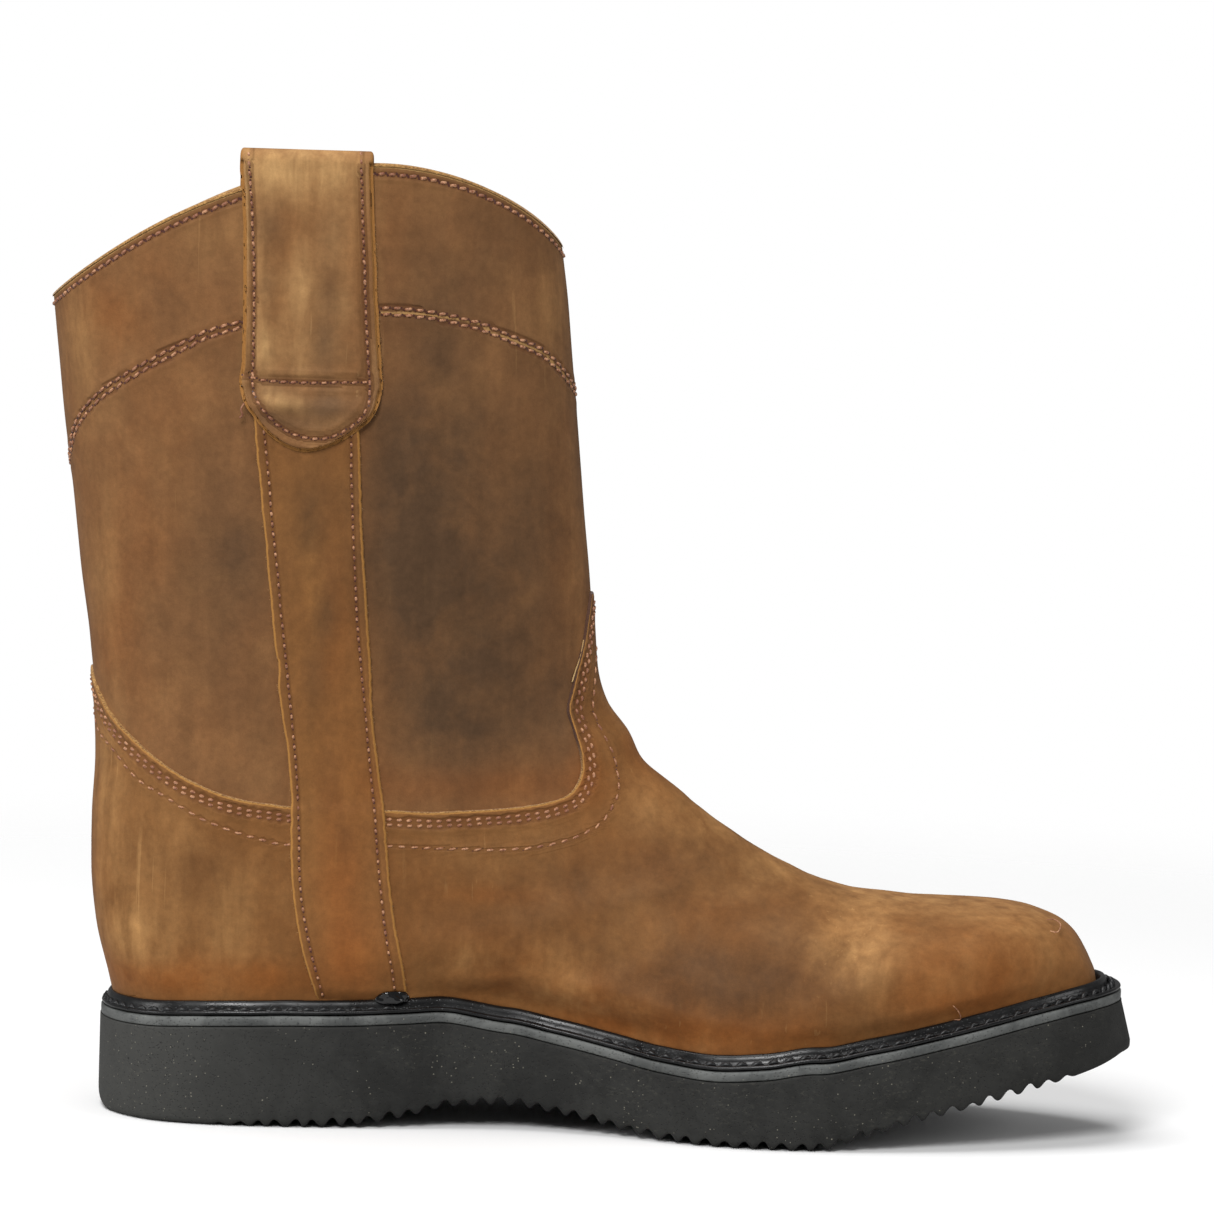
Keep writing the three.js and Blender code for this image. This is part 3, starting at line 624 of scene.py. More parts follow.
def trianglesOf(quads):
    return np.concatenate([quads[:, [0, 1, 2]], quads[:, [0, 2, 3]]])


# Small helpers for material nodes: an input is a value or another node's socket.
def add(tree, kind, inputs=None, **settings):
    node = tree.nodes.new(kind)
    for key, value in settings.items():
        setattr(node, key, value)
    for key, value in (inputs or {}).items():
        if isinstance(value, bpy.types.NodeSocket):
            tree.links.new(value, node.inputs[key])
        else:
            node.inputs[key].default_value = value
    return node


def calc(tree, operation, a, b=0.0, clamp=False):
    return add(tree, "ShaderNodeMath", {0: a, 1: b}, operation=operation, use_clamp=clamp).outputs[0]


def plus(tree, a, b, clamp=False):
    return calc(tree, "ADD", a, b, clamp)


def minus(tree, a, b):
    return calc(tree, "SUBTRACT", a, b)


def times(tree, a, b):
    return calc(tree, "MULTIPLY", a, b)


def mixColour(tree, factor, a, b, kind="MIX"):
    node = add(tree, "ShaderNodeMix", {0: factor, 6: a, 7: b}, data_type="RGBA", blend_type=kind)
    return node.outputs[2]


def spread(tree, value, low, high, newLow=0.0, newHigh=1.0, kind="SMOOTHSTEP"):
    inputs = {"Value": value, "From Min": low, "From Max": high, "To Min": newLow, "To Max": newHigh}
    return add(tree, "ShaderNodeMapRange", inputs, interpolation_type=kind).outputs["Result"]


def noise(tree, where, scale, detail=3.0, rough=0.55, distort=0.0):
    inputs = {"Vector": where, "Scale": scale, "Detail": detail, "Roughness": rough, "Distortion": distort}
    return add(tree, "ShaderNodeTexNoise", inputs).outputs["Fac"]


def stretched(tree, where, scale, turn=(0, 0, 0)):
    return add(tree, "ShaderNodeMapping", {"Vector": where, "Scale": scale, "Rotation": turn}).outputs[0]


def colour(red, green, blue):
    def linear(c):
        c /= 255
        return c / 12.92 if c <= 0.04045 else ((c + 0.055) / 1.055) ** 2.4

    return (linear(red), linear(green), linear(blue), 1.0)


def newGroup(name, inputs, outputs):
    tree = bpy.data.node_groups.new(name, "ShaderNodeTree")
    for key, value in inputs.items():
        kind = "NodeSocketColor" if isinstance(value, tuple) else "NodeSocketFloat"
        socket = tree.interface.new_socket(key, in_out="INPUT", socket_type=kind)
        socket.default_value = value
    for key, kind in outputs.items():
        tree.interface.new_socket(key, in_out="OUTPUT", socket_type="NodeSocket" + kind)
    return tree, tree.nodes.new("NodeGroupInput").outputs, tree.nodes.new("NodeGroupOutput").inputs


def newMaterial(name, shader):
    material = bpy.data.materials.new(name)
    material.use_nodes = True
    tree = material.node_tree
    tree.nodes.clear()
    surface = add(tree, "ShaderNodeBsdfPrincipled", shader)
    out = tree.nodes.new("ShaderNodeOutputMaterial")
    tree.links.new(surface.outputs[0], out.inputs[0])
    return material, tree, surface


def useGroup(tree, group, inputs):
    return add(tree, "ShaderNodeGroup", inputs, node_tree=group).outputs


# A normal from heights in mm.
def bumped(tree, height):
    return add(tree, "ShaderNodeBump", {"Height": height, "Strength": 1.0, "Distance": 0.001}).outputs[0]


def objectPlace(tree):
    return tree.nodes.new("ShaderNodeTexCoord").outputs["Object"]


def attribute(tree, name):
    return add(tree, "ShaderNodeAttribute", attribute_name=name).outputs["Fac"]


# Oiled hide. Patterns are in cells to the metre, depths in mm.
hide = {
    "cloud": 17, "blot": 52, "patch": 38, "mottle": 135, "speck": 420, "nap": 2300,
    "streak": (620, 620, 22),   # pull-up scratches, long and thin
    "brush": (170, 170, 34),
    "blotDepth": 0.14, "speckDepth": 0.05, "napDepth": 0.03, "scratchDepth": 0.02,
}


# Cloudy tones, darker and lighter rubs with painted highlights and painted shade among them, a fine nap and thin
# pull-up scratches.
def makeHideGroup():
    tree, given, out = newGroup(
        "oiledHide",
        {"Base": (0.3, 0.15, 0.06, 1), "Dark": (0.1, 0.06, 0.03, 1), "Light": (0.5, 0.3, 0.12, 1),
         "Warm": (0.3, 0.12, 0.03, 1), "Dark Rub": 0.0, "Light Rub": 0.0, "Warm Rub": 0.0},
        {"Colour": "Color", "Roughness": "Float", "Height": "Float"},
    )
    where = objectPlace(tree)
    cloud = noise(tree, where, hide["cloud"], 4, 0.6, 0.5)
    blot = noise(tree, where, hide["blot"], 5, 0.62, 0.3)
    patch = noise(tree, stretched(tree, where, (1, 1, 0.45), (0.3, 0.5, 0)), hide["patch"], 4, 0.6)
    speck = noise(tree, where, hide["speck"], 4, 0.65)
    nap = noise(tree, where, hide["nap"], 2, 0.6)
    mottle = noise(tree, where, hide["mottle"], 5, 0.7)
    brush = noise(tree, stretched(tree, where, hide["brush"], (0.2, 0.12, 0)), 1, 3, 0.6, 0.3)

    # scratches show in some places only
    streak = noise(tree, stretched(tree, where, hide["streak"], (0.35, 0.25, 0)), 1, 2, 0.5, 0.4)
    scratch = times(tree, spread(tree, streak, 0.66, 0.74), spread(tree, noise(tree, where, 24, 1), 0.5, 0.62))

    # how warm, dark and light a spot is: the rubs with their painted highlights and shade, broken up, and the hide's
    # own clouds
    warm = plus(tree, given["Warm Rub"], times(tree, minus(tree, patch, 0.52), 0.9), True)
    broken = spread(tree, noise(tree, where, 60, 4, 0.58, 0.3), 0.32, 0.68, 0.66, 1.24, "LINEAR")
    dark = times(tree, minus(tree, cloud, 0.52), 0.9)
    dark = plus(tree, dark, times(tree, minus(tree, blot, 0.5), 0.5))
    dark = plus(tree, times(tree, given["Dark Rub"], broken), dark, True)
    stroked = spread(tree, brush, 0.34, 0.68, 0.45, 1.35, "LINEAR")
    light = times(tree, minus(tree, blot, 0.54), -0.8)
    light = plus(tree, light, times(tree, scratch, 0.35))
    light = plus(tree, times(tree, given["Light Rub"], stroked), light, True)
    tone = mixColour(tree, warm, given["Base"], given["Warm"])
    tone = mixColour(tree, times(tree, light, 0.8), tone, given["Light"])
    tone = mixColour(tree, times(tree, dark, 0.85), tone, given["Dark"])

    # fine changes of shade over the tone
    shade = spread(tree, speck, 0.3, 0.7, 0.9, 1.1, "LINEAR")
    shade = times(tree, shade, spread(tree, nap, 0.25, 0.75, 0.94, 1.06, "LINEAR"))
    shade = times(tree, shade, spread(tree, mottle, 0.3, 0.7, 0.9, 1.1, "LINEAR"))
    shade = times(tree, shade, spread(tree, brush, 0.3, 0.7, 0.92, 1.08, "LINEAR"))
    grey = add(tree, "ShaderNodeCombineColor", {0: shade, 1: shade, 2: shade}).outputs[0]
    tree.links.new(mixColour(tree, 1.0, tone, grey, "MULTIPLY"), out["Colour"])
    rough = plus(tree, spread(tree, blot, 0.3, 0.7, 0.62, 0.8, "LINEAR"), times(tree, dark, -0.07))
    tree.links.new(rough, out["Roughness"])
    height = times(tree, blot, hide["blotDepth"])
    height = plus(tree, height, times(tree, speck, hide["speckDepth"]))
    height = plus(tree, height, times(tree, nap, hide["napDepth"]))
    height = minus(tree, height, times(tree, scratch, hide["scratchDepth"]))
    tree.links.new(height, out["Height"])
    return tree


# A stitch row's valley, darkened with painted shade, and a cut edge's pale line, from the distances that a piece
# carries in mm.
def makeSeamGroup():
    tree, given, out = newGroup(
        "seamShadeAndPaleEdge",
        {"Colour": (0.3, 0.15, 0.06, 1), "Edge Colour": (0.5, 0.3, 0.1, 1), "Stitch": 9.0, "Edge": 9.0,
         "Edge Width": 0.5},
        {"Colour": "Color", "Height": "Float"},
    )
    where = objectPlace(tree)
    ragged = times(tree, minus(tree, noise(tree, where, 900, 4, 0.7), 0.5), 0.7)
    valley = spread(tree, given["Stitch"], 0.0, 1.0, 1.0, 0.0)
    rim = plus(tree, given["Edge"], ragged)
    pale = minus(tree, 1.0, spread(tree, calc(tree, "DIVIDE", rim, given["Edge Width"]), 0.6, 1.3))
    # painted shade: the leather darkens towards (86, 46, 24) in the stitch row's valley
    valleyShaded = mixColour(tree, times(tree, valley, 0.35), given["Colour"], colour(86, 46, 24))
    tree.links.new(mixColour(tree, pale, valleyShaded, given["Edge Colour"]), out["Colour"])
    swell = spread(tree, given["Stitch"], 0.8, 2.8, 0.14, 0.0)
    dip = times(tree, valley, -0.34)
    tree.links.new(plus(tree, dip, swell), out["Height"])
    return tree


hideGroup = makeHideGroup()
seamGroup = makeSeamGroup()


def hideMaterial(name, tones, edgeWidth=0.5):
    shader = {"Specular IOR Level": 0.15, "Sheen Weight": 0.02, "Sheen Roughness": 0.5}
    material, tree, surface = newMaterial(name, shader)
    given = {key: colour(*rgb) for key, rgb in tones.items() if key != "Edge"}
    # the dark and light rubs also carry painted shade and painted highlights
    for key in ("dark", "light", "warm"):
        given[key.capitalize() + " Rub"] = attribute(tree, key)
    leather = useGroup(tree, hideGroup, given)
    seam = useGroup(tree, seamGroup, {
        "Colour": leather["Colour"], "Edge Colour": colour(*tones["Edge"]), "Edge Width": edgeWidth,
        "Stitch": attribute(tree, "stitch"), "Edge": attribute(tree, "edge"),
    })
    tree.links.new(seam["Colour"], surface.inputs["Base Color"])
    tree.links.new(leather["Roughness"], surface.inputs["Roughness"])
    tree.links.new(bumped(tree, plus(tree, leather["Height"], seam["Height"])), surface.inputs["Normal"])
    return material


# Tones of each leather, as 0 to 255; Dark and Light also colour the painted shade and painted highlights among the
# rubs.
hideTones = {
    "shaftHide": {"Base": (126, 87, 53), "Dark": (76, 57, 40), "Light": (168, 126, 78), "Warm": (132, 78, 37),
                  "Edge": (180, 140, 88)},
    "footHide": {"Base": (126, 84, 45), "Dark": (82, 54, 29), "Light": (186, 141, 88), "Warm": (140, 80, 32),
                 "Edge": (172, 122, 64)},
    "stripHide": {"Base": (129, 86, 46), "Dark": (92, 65, 40), "Light": (160, 112, 60), "Warm": (140, 82, 37),
                  "Edge": (172, 122, 62)},
    "tabHide": {"Base": (135, 93, 55), "Dark": (92, 69, 48), "Light": (200, 158, 104), "Warm": (146, 90, 45),
                "Edge": (160, 112, 58)},
}
shaftHide, footHide = (hideMaterial(name, hideTones[name]) for name in ("shaftHide", "footHide"))
stripHide, tabHide = (hideMaterial(name, hideTones[name], 0.7) for name in ("stripHide", "tabHide"))


# Tones of the plain materials, as 0 to 255.
plain = {
    "cutEdge": {"dark": (116, 78, 42), "light": (192, 148, 88), "darkerTone": (84, 56, 42)},
    "thread": {"dark": (132, 76, 46), "light": (200, 148, 108), "darkerTone": (118, 62, 38), "holeShade": (74, 30, 14)},
    "lining": {"dark": (176, 142, 92), "light": (204, 172, 122), "pore": (120, 90, 56)},
    "rubber": {"pore": (14, 14, 14), "scuff": (92, 90, 80), "heelLit": (104, 104, 100), "dust": (156, 152, 136)},
}


def plainColour(name, key):
    return colour(*plain[name][key])


def cutEdgeMaterial():
    material, tree, surface = newMaterial("cutEdge", {"Specular IOR Level": 0.2, "Sheen Weight": 0.2})
    where = objectPlace(tree)
    fibre = noise(tree, stretched(tree, where, (1, 1, 2.5)), 1300, 5, 0.7)
    dark, pale = plainColour("cutEdge", "dark"), plainColour("cutEdge", "light")
    tone = mixColour(tree, spread(tree, fibre, 0.35, 0.65), dark, pale)
    # darker towards the ankle's front, where the shade attribute is high
    tone = mixColour(tree, attribute(tree, "shade"), tone, plainColour("cutEdge", "darkerTone"))
    tree.links.new(tone, surface.inputs["Base Color"])
    tree.links.new(spread(tree, fibre, 0.3, 0.7, 0.75, 0.95, "LINEAR"), surface.inputs["Roughness"])
    tree.links.new(bumped(tree, times(tree, fibre, 0.25)), surface.inputs["Normal"])
    return material


def threadMaterial():
    material, tree, surface = newMaterial("thread", {"Specular IOR Level": 0.5, "Sheen Weight": 0.15})
    where = objectPlace(tree)
    twist = noise(tree, where, 1500, 3, 0.6)
    dark, pale = plainColour("thread", "dark"), plainColour("thread", "light")
    tone = mixColour(tree, spread(tree, twist, 0.35, 0.65), dark, pale)
    patch = noise(tree, where, 120, 2)
    tone = mixColour(tree, spread(tree, patch, 0.45, 0.62, 0, 0.6), tone, plainColour("thread", "darkerTone"))
    # painted shade of the stitch holes
    tone = mixColour(tree, attribute(tree, "holeShade"), tone, plainColour("thread", "holeShade"))
    tree.links.new(tone, surface.inputs["Base Color"])
    tree.links.new(spread(tree, twist, 0.3, 0.7, 0.4, 0.6, "LINEAR"), surface.inputs["Roughness"])
    tree.links.new(bumped(tree, times(tree, twist, 0.1)), surface.inputs["Normal"])
    return material


def liningMaterial():
    material, tree, surface = newMaterial("lining", {"Specular IOR Level": 0.3})
    where = objectPlace(tree)
    blot = noise(tree, where, 30, 4, 0.6)
    pore = noise(tree, where, 1400, 3, 0.6)
    dark, pale = plainColour("lining", "dark"), plainColour("lining", "light")
    tone = mixColour(tree, spread(tree, blot, 0.35, 0.65), dark, pale)
    tone = mixColour(tree, spread(tree, pore, 0.3, 0.5, 0.25, 0), tone, plainColour("lining", "pore"))
    tree.links.new(tone, surface.inputs["Base Color"])
    tree.links.new(spread(tree, blot, 0.3, 0.7, 0.7, 0.88, "LINEAR"), surface.inputs["Roughness"])
    tree.links.new(bumped(tree, times(tree, pore, 0.12)), surface.inputs["Normal"])
    return material


# Specks of dust: a few cells of a fine pattern, thicker in some places.
def makeDustGroup():
    tree, given, out = newGroup("paleDust", {"Scale": 260.0, "Amount": 0.03}, {"Mask": "Float"})
    where = objectPlace(tree)
    cell = add(tree, "ShaderNodeTexVoronoi", {"Vector": where, "Scale": given["Scale"], "Randomness": 1.0})
    drift = spread(tree, noise(tree, where, 34, 4, 0.7), 0.44, 0.62, 0.1, 2.6)
    drawn = add(tree, "ShaderNodeSeparateColor", {"Color": cell.outputs["Color"]}).outputs["Red"]
    few = calc(tree, "GREATER_THAN", drawn, minus(tree, 1.0, times(tree, given["Amount"], drift)))
    ragged = plus(tree, cell.outputs["Distance"], times(tree, noise(tree, where, 2600, 1), 0.3))
    tree.links.new(times(tree, few, spread(tree, ragged, 0.16, 0.34, 1.0, 0.0)), out["Mask"])
    return tree


dustGroup = makeDustGroup()

# Tones as 0 to 255, roughness from and to, and how much of the pores, dust and the painted light at the heel shows.
rubber = {
    "outsoleRubber": {"dark": (24, 24, 22), "light": (42, 42, 40), "rough": (0.7, 0.9), "pores": 1.6, "dust": 0.2,
                      "paintedHeelLight": 0.24},
    "midsoleRubber": {"dark": (70, 72, 71), "light": (104, 106, 104), "rough": (0.4, 0.65), "pores": 1.6, "dust": 0.12},
    "weltRubber": {"dark": (12, 12, 13), "light": (20, 20, 21), "rough": (0.2, 0.42), "pores": 0.5, "dust": 0.012},
    "weltThread": {"dark": (16, 16, 17), "light": (26, 27, 29), "rough": (0.3, 0.5), "pores": 0.3, "dust": 0.004},
    "cement": {"dark": (8, 8, 9), "light": (12, 12, 13), "rough": (0.06, 0.14), "pores": 0.0, "dust": 0.0, "coat": 0.6},
}


def rubberMaterial(name):
    look = rubber[name]
    pores = look["pores"]
    material, tree, surface = newMaterial(name, {"Specular IOR Level": 0.4, "Coat Weight": look.get("coat", 0.0)})
    where = objectPlace(tree)
    cloud = noise(tree, where, 55, 6, 0.74, 0.4)
    grain = noise(tree, where, 1100, 4, 0.7)
    cell = add(tree, "ShaderNodeTexVoronoi", {"Vector": where, "Scale": 1100, "Randomness": 1.0}).outputs["Distance"]
    pit = spread(tree, cell, 0.12, 0.32, 1.0, 0.0)
    tone = mixColour(tree, spread(tree, cloud, 0.36, 0.64), colour(*look["dark"]), colour(*look["light"]))
    # painted light: the outsole turns a lighter grey towards the heel
    fromHeel = add(tree, "ShaderNodeSeparateXYZ", {"Vector": where}).outputs["X"]
    heelLit = spread(tree, fromHeel, -0.155, -0.05, look.get("paintedHeelLight", 0.0), 0.0)
    tone = mixColour(tree, heelLit, tone, plainColour("rubber", "heelLit"))
    tone = mixColour(tree, times(tree, pit, 0.22 * pores), tone, plainColour("rubber", "pore"))
    scuff = spread(tree, noise(tree, stretched(tree, where, (1, 1, 2.2), (0, 0.5, 0)), 430, 5, 0.8), 0.52, 0.72)
    scuff = times(tree, scuff, spread(tree, noise(tree, where, 30, 3, 0.6), 0.46, 0.62, 0.12, 0.75))
    tone = mixColour(tree, times(tree, scuff, 0.3 * pores), tone, plainColour("rubber", "scuff"))
    specks = useGroup(tree, dustGroup, {"Scale": 760.0, "Amount": look["dust"]})["Mask"]
    holes = useGroup(tree, dustGroup, {"Scale": 300.0, "Amount": look["dust"]})["Mask"]
    tone = mixColour(tree, times(tree, holes, 0.7), tone, plainColour("rubber", "pore"))
    tone = mixColour(tree, times(tree, specks, 0.75), tone, plainColour("rubber", "dust"))
    tree.links.new(tone, surface.inputs["Base Color"])
    tree.links.new(spread(tree, cloud, 0.3, 0.7, *look["rough"], "LINEAR"), surface.inputs["Roughness"])
    height = minus(tree, times(tree, grain, 0.04 * pores), times(tree, pit, 0.08 * pores))
    height = plus(tree, height, times(tree, cloud, 0.05))
    tree.links.new(bumped(tree, height), surface.inputs["Normal"])
    return material


cutEdge = cutEdgeMaterial()
thread = threadMaterial()
liningLeather = liningMaterial()
outsoleRubber, midsoleRubber, weltRubber, weltThread, cement = (rubberMaterial(name) for name in rubber)
print("materials ready")


# Rubs of the hide where the picture shows them, with painted highlights and painted shade among them: picture pixel,
# reach in mm both ways, strength.
rubsAndPaintedLight = {
    "dark": [
        # painted shade low on the vamp near the welt: (540, 925), (690, 985), (790, 945), (845, 995), (700, 1010);
        # darker over the shaft's front: (470, 540), (480, 640)
        (470, 540, 22, 80, 0.36), (540, 925, 46, 20, 0.55), (690, 985, 30, 13, 0.8), (690, 880, 20, 12, 0.5),
        (415, 455, 20, 34, 0.6), (235, 600, 8, 40, 0.3), (310, 500, 8, 14, 0.3), (400, 560, 18, 30, 0.45),
        (480, 640, 26, 34, 0.5), (450, 720, 26, 16, 0.45), (545, 520, 10, 34, 0.3), (500, 250, 14, 14, 0.3),
        (430, 300, 14, 16, 0.3), (236, 540, 16, 20, 0.25), (270, 400, 10, 12, 0.2), (190, 880, 14, 14, 0.35),
        (160, 300, 9, 9, 0.25), (790, 945, 18, 15, 0.5), (700, 1010, 18, 10, 0.2), (845, 995, 12, 9, 0.4),
        # painted shade round the tab's bulge: (318, 408), (270, 416), (300, 424)
        (700, 850, 16, 10, 0.2), (570, 880, 18, 8, 0.3), (268, 225, 5, 7, 0.6), (318, 408, 7, 4, 0.5),
        (270, 416, 5, 2.5, 0.35), (300, 424, 8, 2, 0.3), (330, 230, 5, 10, 0.35), (268, 285, 3, 7, 0.4),
        (330, 290, 4, 12, 0.35), (325, 345, 4, 10, 0.45), (330, 400, 5, 5, 0.4), (310, 525, 4, 9, 0.5),
        (325, 610, 4, 10, 0.5), (312, 670, 3, 10, 0.3), (330, 780, 4, 14, 0.3), (345, 830, 3, 12, 0.2),
        (215, 560, 12, 20, 0.2), (560, 720, 7, 22, 0.35), (320, 640, 4, 22, 0.3),
    ],
    "light": [
        # painted highlight on the tab's bulge: (272, 392), (284, 402); painted top light on the tab's fold: (306, 165),
        # (300, 175)
        (262, 300, 3, 18, 0.3), (300, 300, 4, 10, 0.35), (302, 250, 3, 10, 0.25), (345, 300, 3, 8, 0.15),
        (262, 350, 3, 6, 0.3), (300, 355, 3, 8, 0.25), (272, 392, 5, 2.5, 0.5), (300, 408, 4, 3, 0.2),
        (378, 300, 1, 40, 0.4), (246, 280, 1, 40, 0.4), (308, 540, 3, 16, 0.4), (318, 600, 3, 14, 0.4),
        (345, 470, 4, 10, 0.25), (300, 850, 3, 20, 0.25), (345, 790, 4, 12, 0.25), (306, 165, 20, 6, 0.7),
        # painted highlight along the instep ridge and the toe's top: (740, 830), (800, 880), (880, 903), (960, 912),
        # (1040, 935); painted light on the heel counter: (150, 880), (130, 940), (108, 900), (140, 940)
        (150, 880, 12, 26, 0.22), (130, 940, 9, 10, 0.15), (800, 880, 22, 5, 0.5), (740, 830, 18, 8, 0.5),
        (880, 903, 18, 4, 0.5), (960, 912, 22, 4, 0.55), (1040, 935, 10, 10, 0.35), (100, 780, 5, 26, 0.25),
        (108, 900, 6, 24, 0.25), (140, 940, 10, 8, 0.25), (230, 930, 7, 12, 0.4), (75, 340, 6, 18, 0.5),
        (100, 560, 5, 26, 0.3), (215, 235, 12, 6, 0.35), (555, 300, 6, 16, 0.35), (300, 175, 16, 8, 0.5),
        (320, 300, 6, 8, 0.15), (335, 240, 5, 8, 0.12), (270, 345, 7, 8, 0.35), (870, 960, 8, 12, 0.3),
        (560, 970, 18, 8, 0.25), (470, 960, 10, 5, 0.35), (640, 820, 8, 8, 0.2), (838, 952, 13, 8, 0.4),
        (590, 1005, 26, 6, 0.3), (284, 402, 6, 2.5, 0.6), (583, 560, 4, 26, 0.25),
    ],
    "warm": [
        (610, 1005, 30, 9, 0.8), (720, 1035, 34, 7, 0.8), (520, 960, 20, 10, 0.4), (480, 790, 30, 6, 0.6),
        (340, 840, 8, 30, 0.6), (350, 960, 9, 12, 0.6), (330, 610, 7, 24, 0.4), (150, 540, 14, 16, 0.35),
        (110, 320, 10, 8, 0.45), (640, 745, 6, 10, 0.5), (580, 780, 6, 10, 0.5), (1000, 985, 22, 10, 0.5),
        (930, 1005, 22, 6, 0.4), (140, 985, 22, 5, 0.6), (250, 980, 22, 6, 0.6), (500, 900, 18, 3, 0.4),
        (560, 600, 8, 30, 0.25), (110, 640, 7, 20, 0.4), (700, 930, 20, 10, 0.2),
    ],
}


# The rubs, painted highlights and painted shade at each point of a piece, from 0 to 1; both sides of the boot have the
# same.
def rubAndPaintedLightValues(points):
    flat = np.asarray(points).reshape(-1, 3)
    made = {}
    for kind, patches in rubsAndPaintedLight.items():
        total = np.zeros(len(flat))
        for px, py, reachX, reachZ, strength in patches:
            x, z = nearSide(px, py)
            total += strength * np.exp(-(((flat[:, 0] - x) / reachX) ** 2 + ((flat[:, 2] - z) / reachZ) ** 2))
        made[kind] = np.minimum(total, 1)
    return made


# The two leathers of the upper, cut from one skin: the shaft runs a little under the foot's leather.
leathers = {
    "vampLift": 0.65,
    "shaftLift": -0.2,
    "tuck": 4.0,                  # how far the shaft goes on under the vamp
    "rowsFromEdge": (2.4, 3.85),
    "singleShallow": 0.55,        # the single row presses in less than the others
    "bandGap": 0.92,              # half the distance between the band's two rows
    "collarRow": 2.7,             # from the collar's edge
}


def sideSign(line):
    return -1 if line[:, 1].mean() < 0 else 1


# A row beside the cut edge, on the foot's side of it.
def rowFromEdge(edge, normals, distance):
    sign = sideSign(edge)
    moved, normal = besideOnSkin(edge, normals, distance * sign)
    keep = distanceTo(moved, [edge]) > abs(distance) - 0.2
    line = resample(throughPoints(moved[keep][::3], 4), 0.4)
    found = [skinTree.find_nearest(Vector(p)) for p in line]
    return np.array([f[0] for f in found]), -np.array([f[1] for f in found])


vampRows, bandRows = [], []
for edge, normal in bothSides("vampEdge"):
    vampRows += [rowFromEdge(edge, normal, d) for d in leathers["rowsFromEdge"]]
singleRows = bothSides("vampSingleRow")
for line, normal in bothSides("bandSeam"):
    bandRows += [besideOnSkin(line, normal, d) for d in (leathers["bandGap"], -leathers["bandGap"])]
bandLines = [line for line, normal in bothSides("bandSeam")]
bandAway = distanceTo(skin, bandLines, 9)
bandNear = np.minimum(bandAway, 6)
rimPoints = skin[0]
down = skin[6] - skin[0]
down /= np.linalg.norm(down, axis=1, keepdims=True)
collarLine = rimPoints + down * leathers["collarRow"]
collarNormal = skinNormal[2]

# What the leather's material needs at each point: distances to the nearest stitches and cut edge, and rubs with their
# painted highlights and shade.
stitchAway = np.minimum.reduce([
    np.where(vampField > -1, distanceTo(skin, [r[0] for r in vampRows], 6), 6),
    distanceTo(skin, [r[0] for r in singleRows], 6) + leathers["singleShallow"],
    np.abs(bandNear - leathers["bandGap"]),
    distanceTo(skin, [collarLine], 6),
])
rimAway = np.linalg.norm(skin - rimPoints[None], axis=-1) - 0.5
rimAway = np.minimum(rimAway, bandNear + 0.3 + 0.25 * smoothStep((70 - skin[..., 0]) / 30))
rubAndPaintedLightOnSkin = rubAndPaintedLightValues(skin)
skinFaces = trianglesOf(gridFaces(*skinShape))[:, ::-1]


# The skin lifted, with the part kept where field > 0.
def leatherPart(name, lift, field, edge, material):
    raised = skin + skinNormal * lift[..., None]
    values = {"stitch": stitchAway.ravel(), "edge": edge.ravel()} | rubAndPaintedLightOnSkin
    points, faces, values = cutSurface(raised.reshape(-1, 3), skinFaces, field.ravel(), values)
    return makeMesh(name, points, faces, material, values, weld=True)


# the band swells beside its rows and dips between them; the vamp swells at its edge and lies low on the foot
puff = 0.16 * np.exp(-((np.abs(bandAway - 2.6) / 1.3) ** 2)) - 0.3 * np.exp(-((bandAway / 0.45) ** 2))
shaftPart = leatherPart("shaftLeather", leathers["shaftLift"] + puff, leathers["tuck"] - vampField, rimAway, shaftHide)
puff = 0.12 * np.exp(-(((vampField - 1.2) / 0.8) ** 2)) + 0.14 * np.exp(-(((vampField - 5.4) / 1.3) ** 2))
puff -= 0.35 * smoothStep((skin[..., 0] - 150) / 60) + 0.2 * smoothStep((skin[..., 0] - 230) / 40)
vampPart = leatherPart("vampLeather", leathers["vampLift"] + puff, vampField, vampField, footHide)
print("leathers:", len(shaftPart.data.polygons), len(vampPart.data.polygons))


# A band along lines: a section of (sideways, lift) points over the skin, sideways > 0 away from the foot.
def sweepOnSkin(name, lines, section, material, wave, seed):
    parts = []
    for line, normal, sign in lines:
        way = np.gradient(line, axis=0)
        side = np.cross(normal, way) * sign
        side /= np.maximum(np.linalg.norm(side, axis=1, keepdims=True), 1e-9)
        shift = softWaves(line, 5, seed) * wave + softWaves(line, 1.6, seed + 1) * wave * 0.6
        grid = np.stack([line + side * (a + shift)[:, None] + normal * h for a, h in section], 1)
        parts.append((grid, gridFaces(len(line), len(section), flip=sign < 0)))
    points, faces = joinParts(parts)
    # darker up the ankle's front
    shade = smoothStep((points[:, 0] - 128) / 10) * smoothStep((points[:, 2] - 104) / 12)
    return makeMesh(name, points, faces, material, {"shade": shade})


edgeRuns = [(edge, normal, -sideSign(edge)) for edge, normal in bothSides("vampEdge")]
cutSection = [(-0.3, 0.62), (-0.1, 0.7), (0.08, 0.62), (0.2, 0.4), (0.28, 0.1), (0.3, -0.5)]
cutPart = sweepOnSkin("vampCutEdge", edgeRuns, cutSection, cutEdge, 0.12, 21)

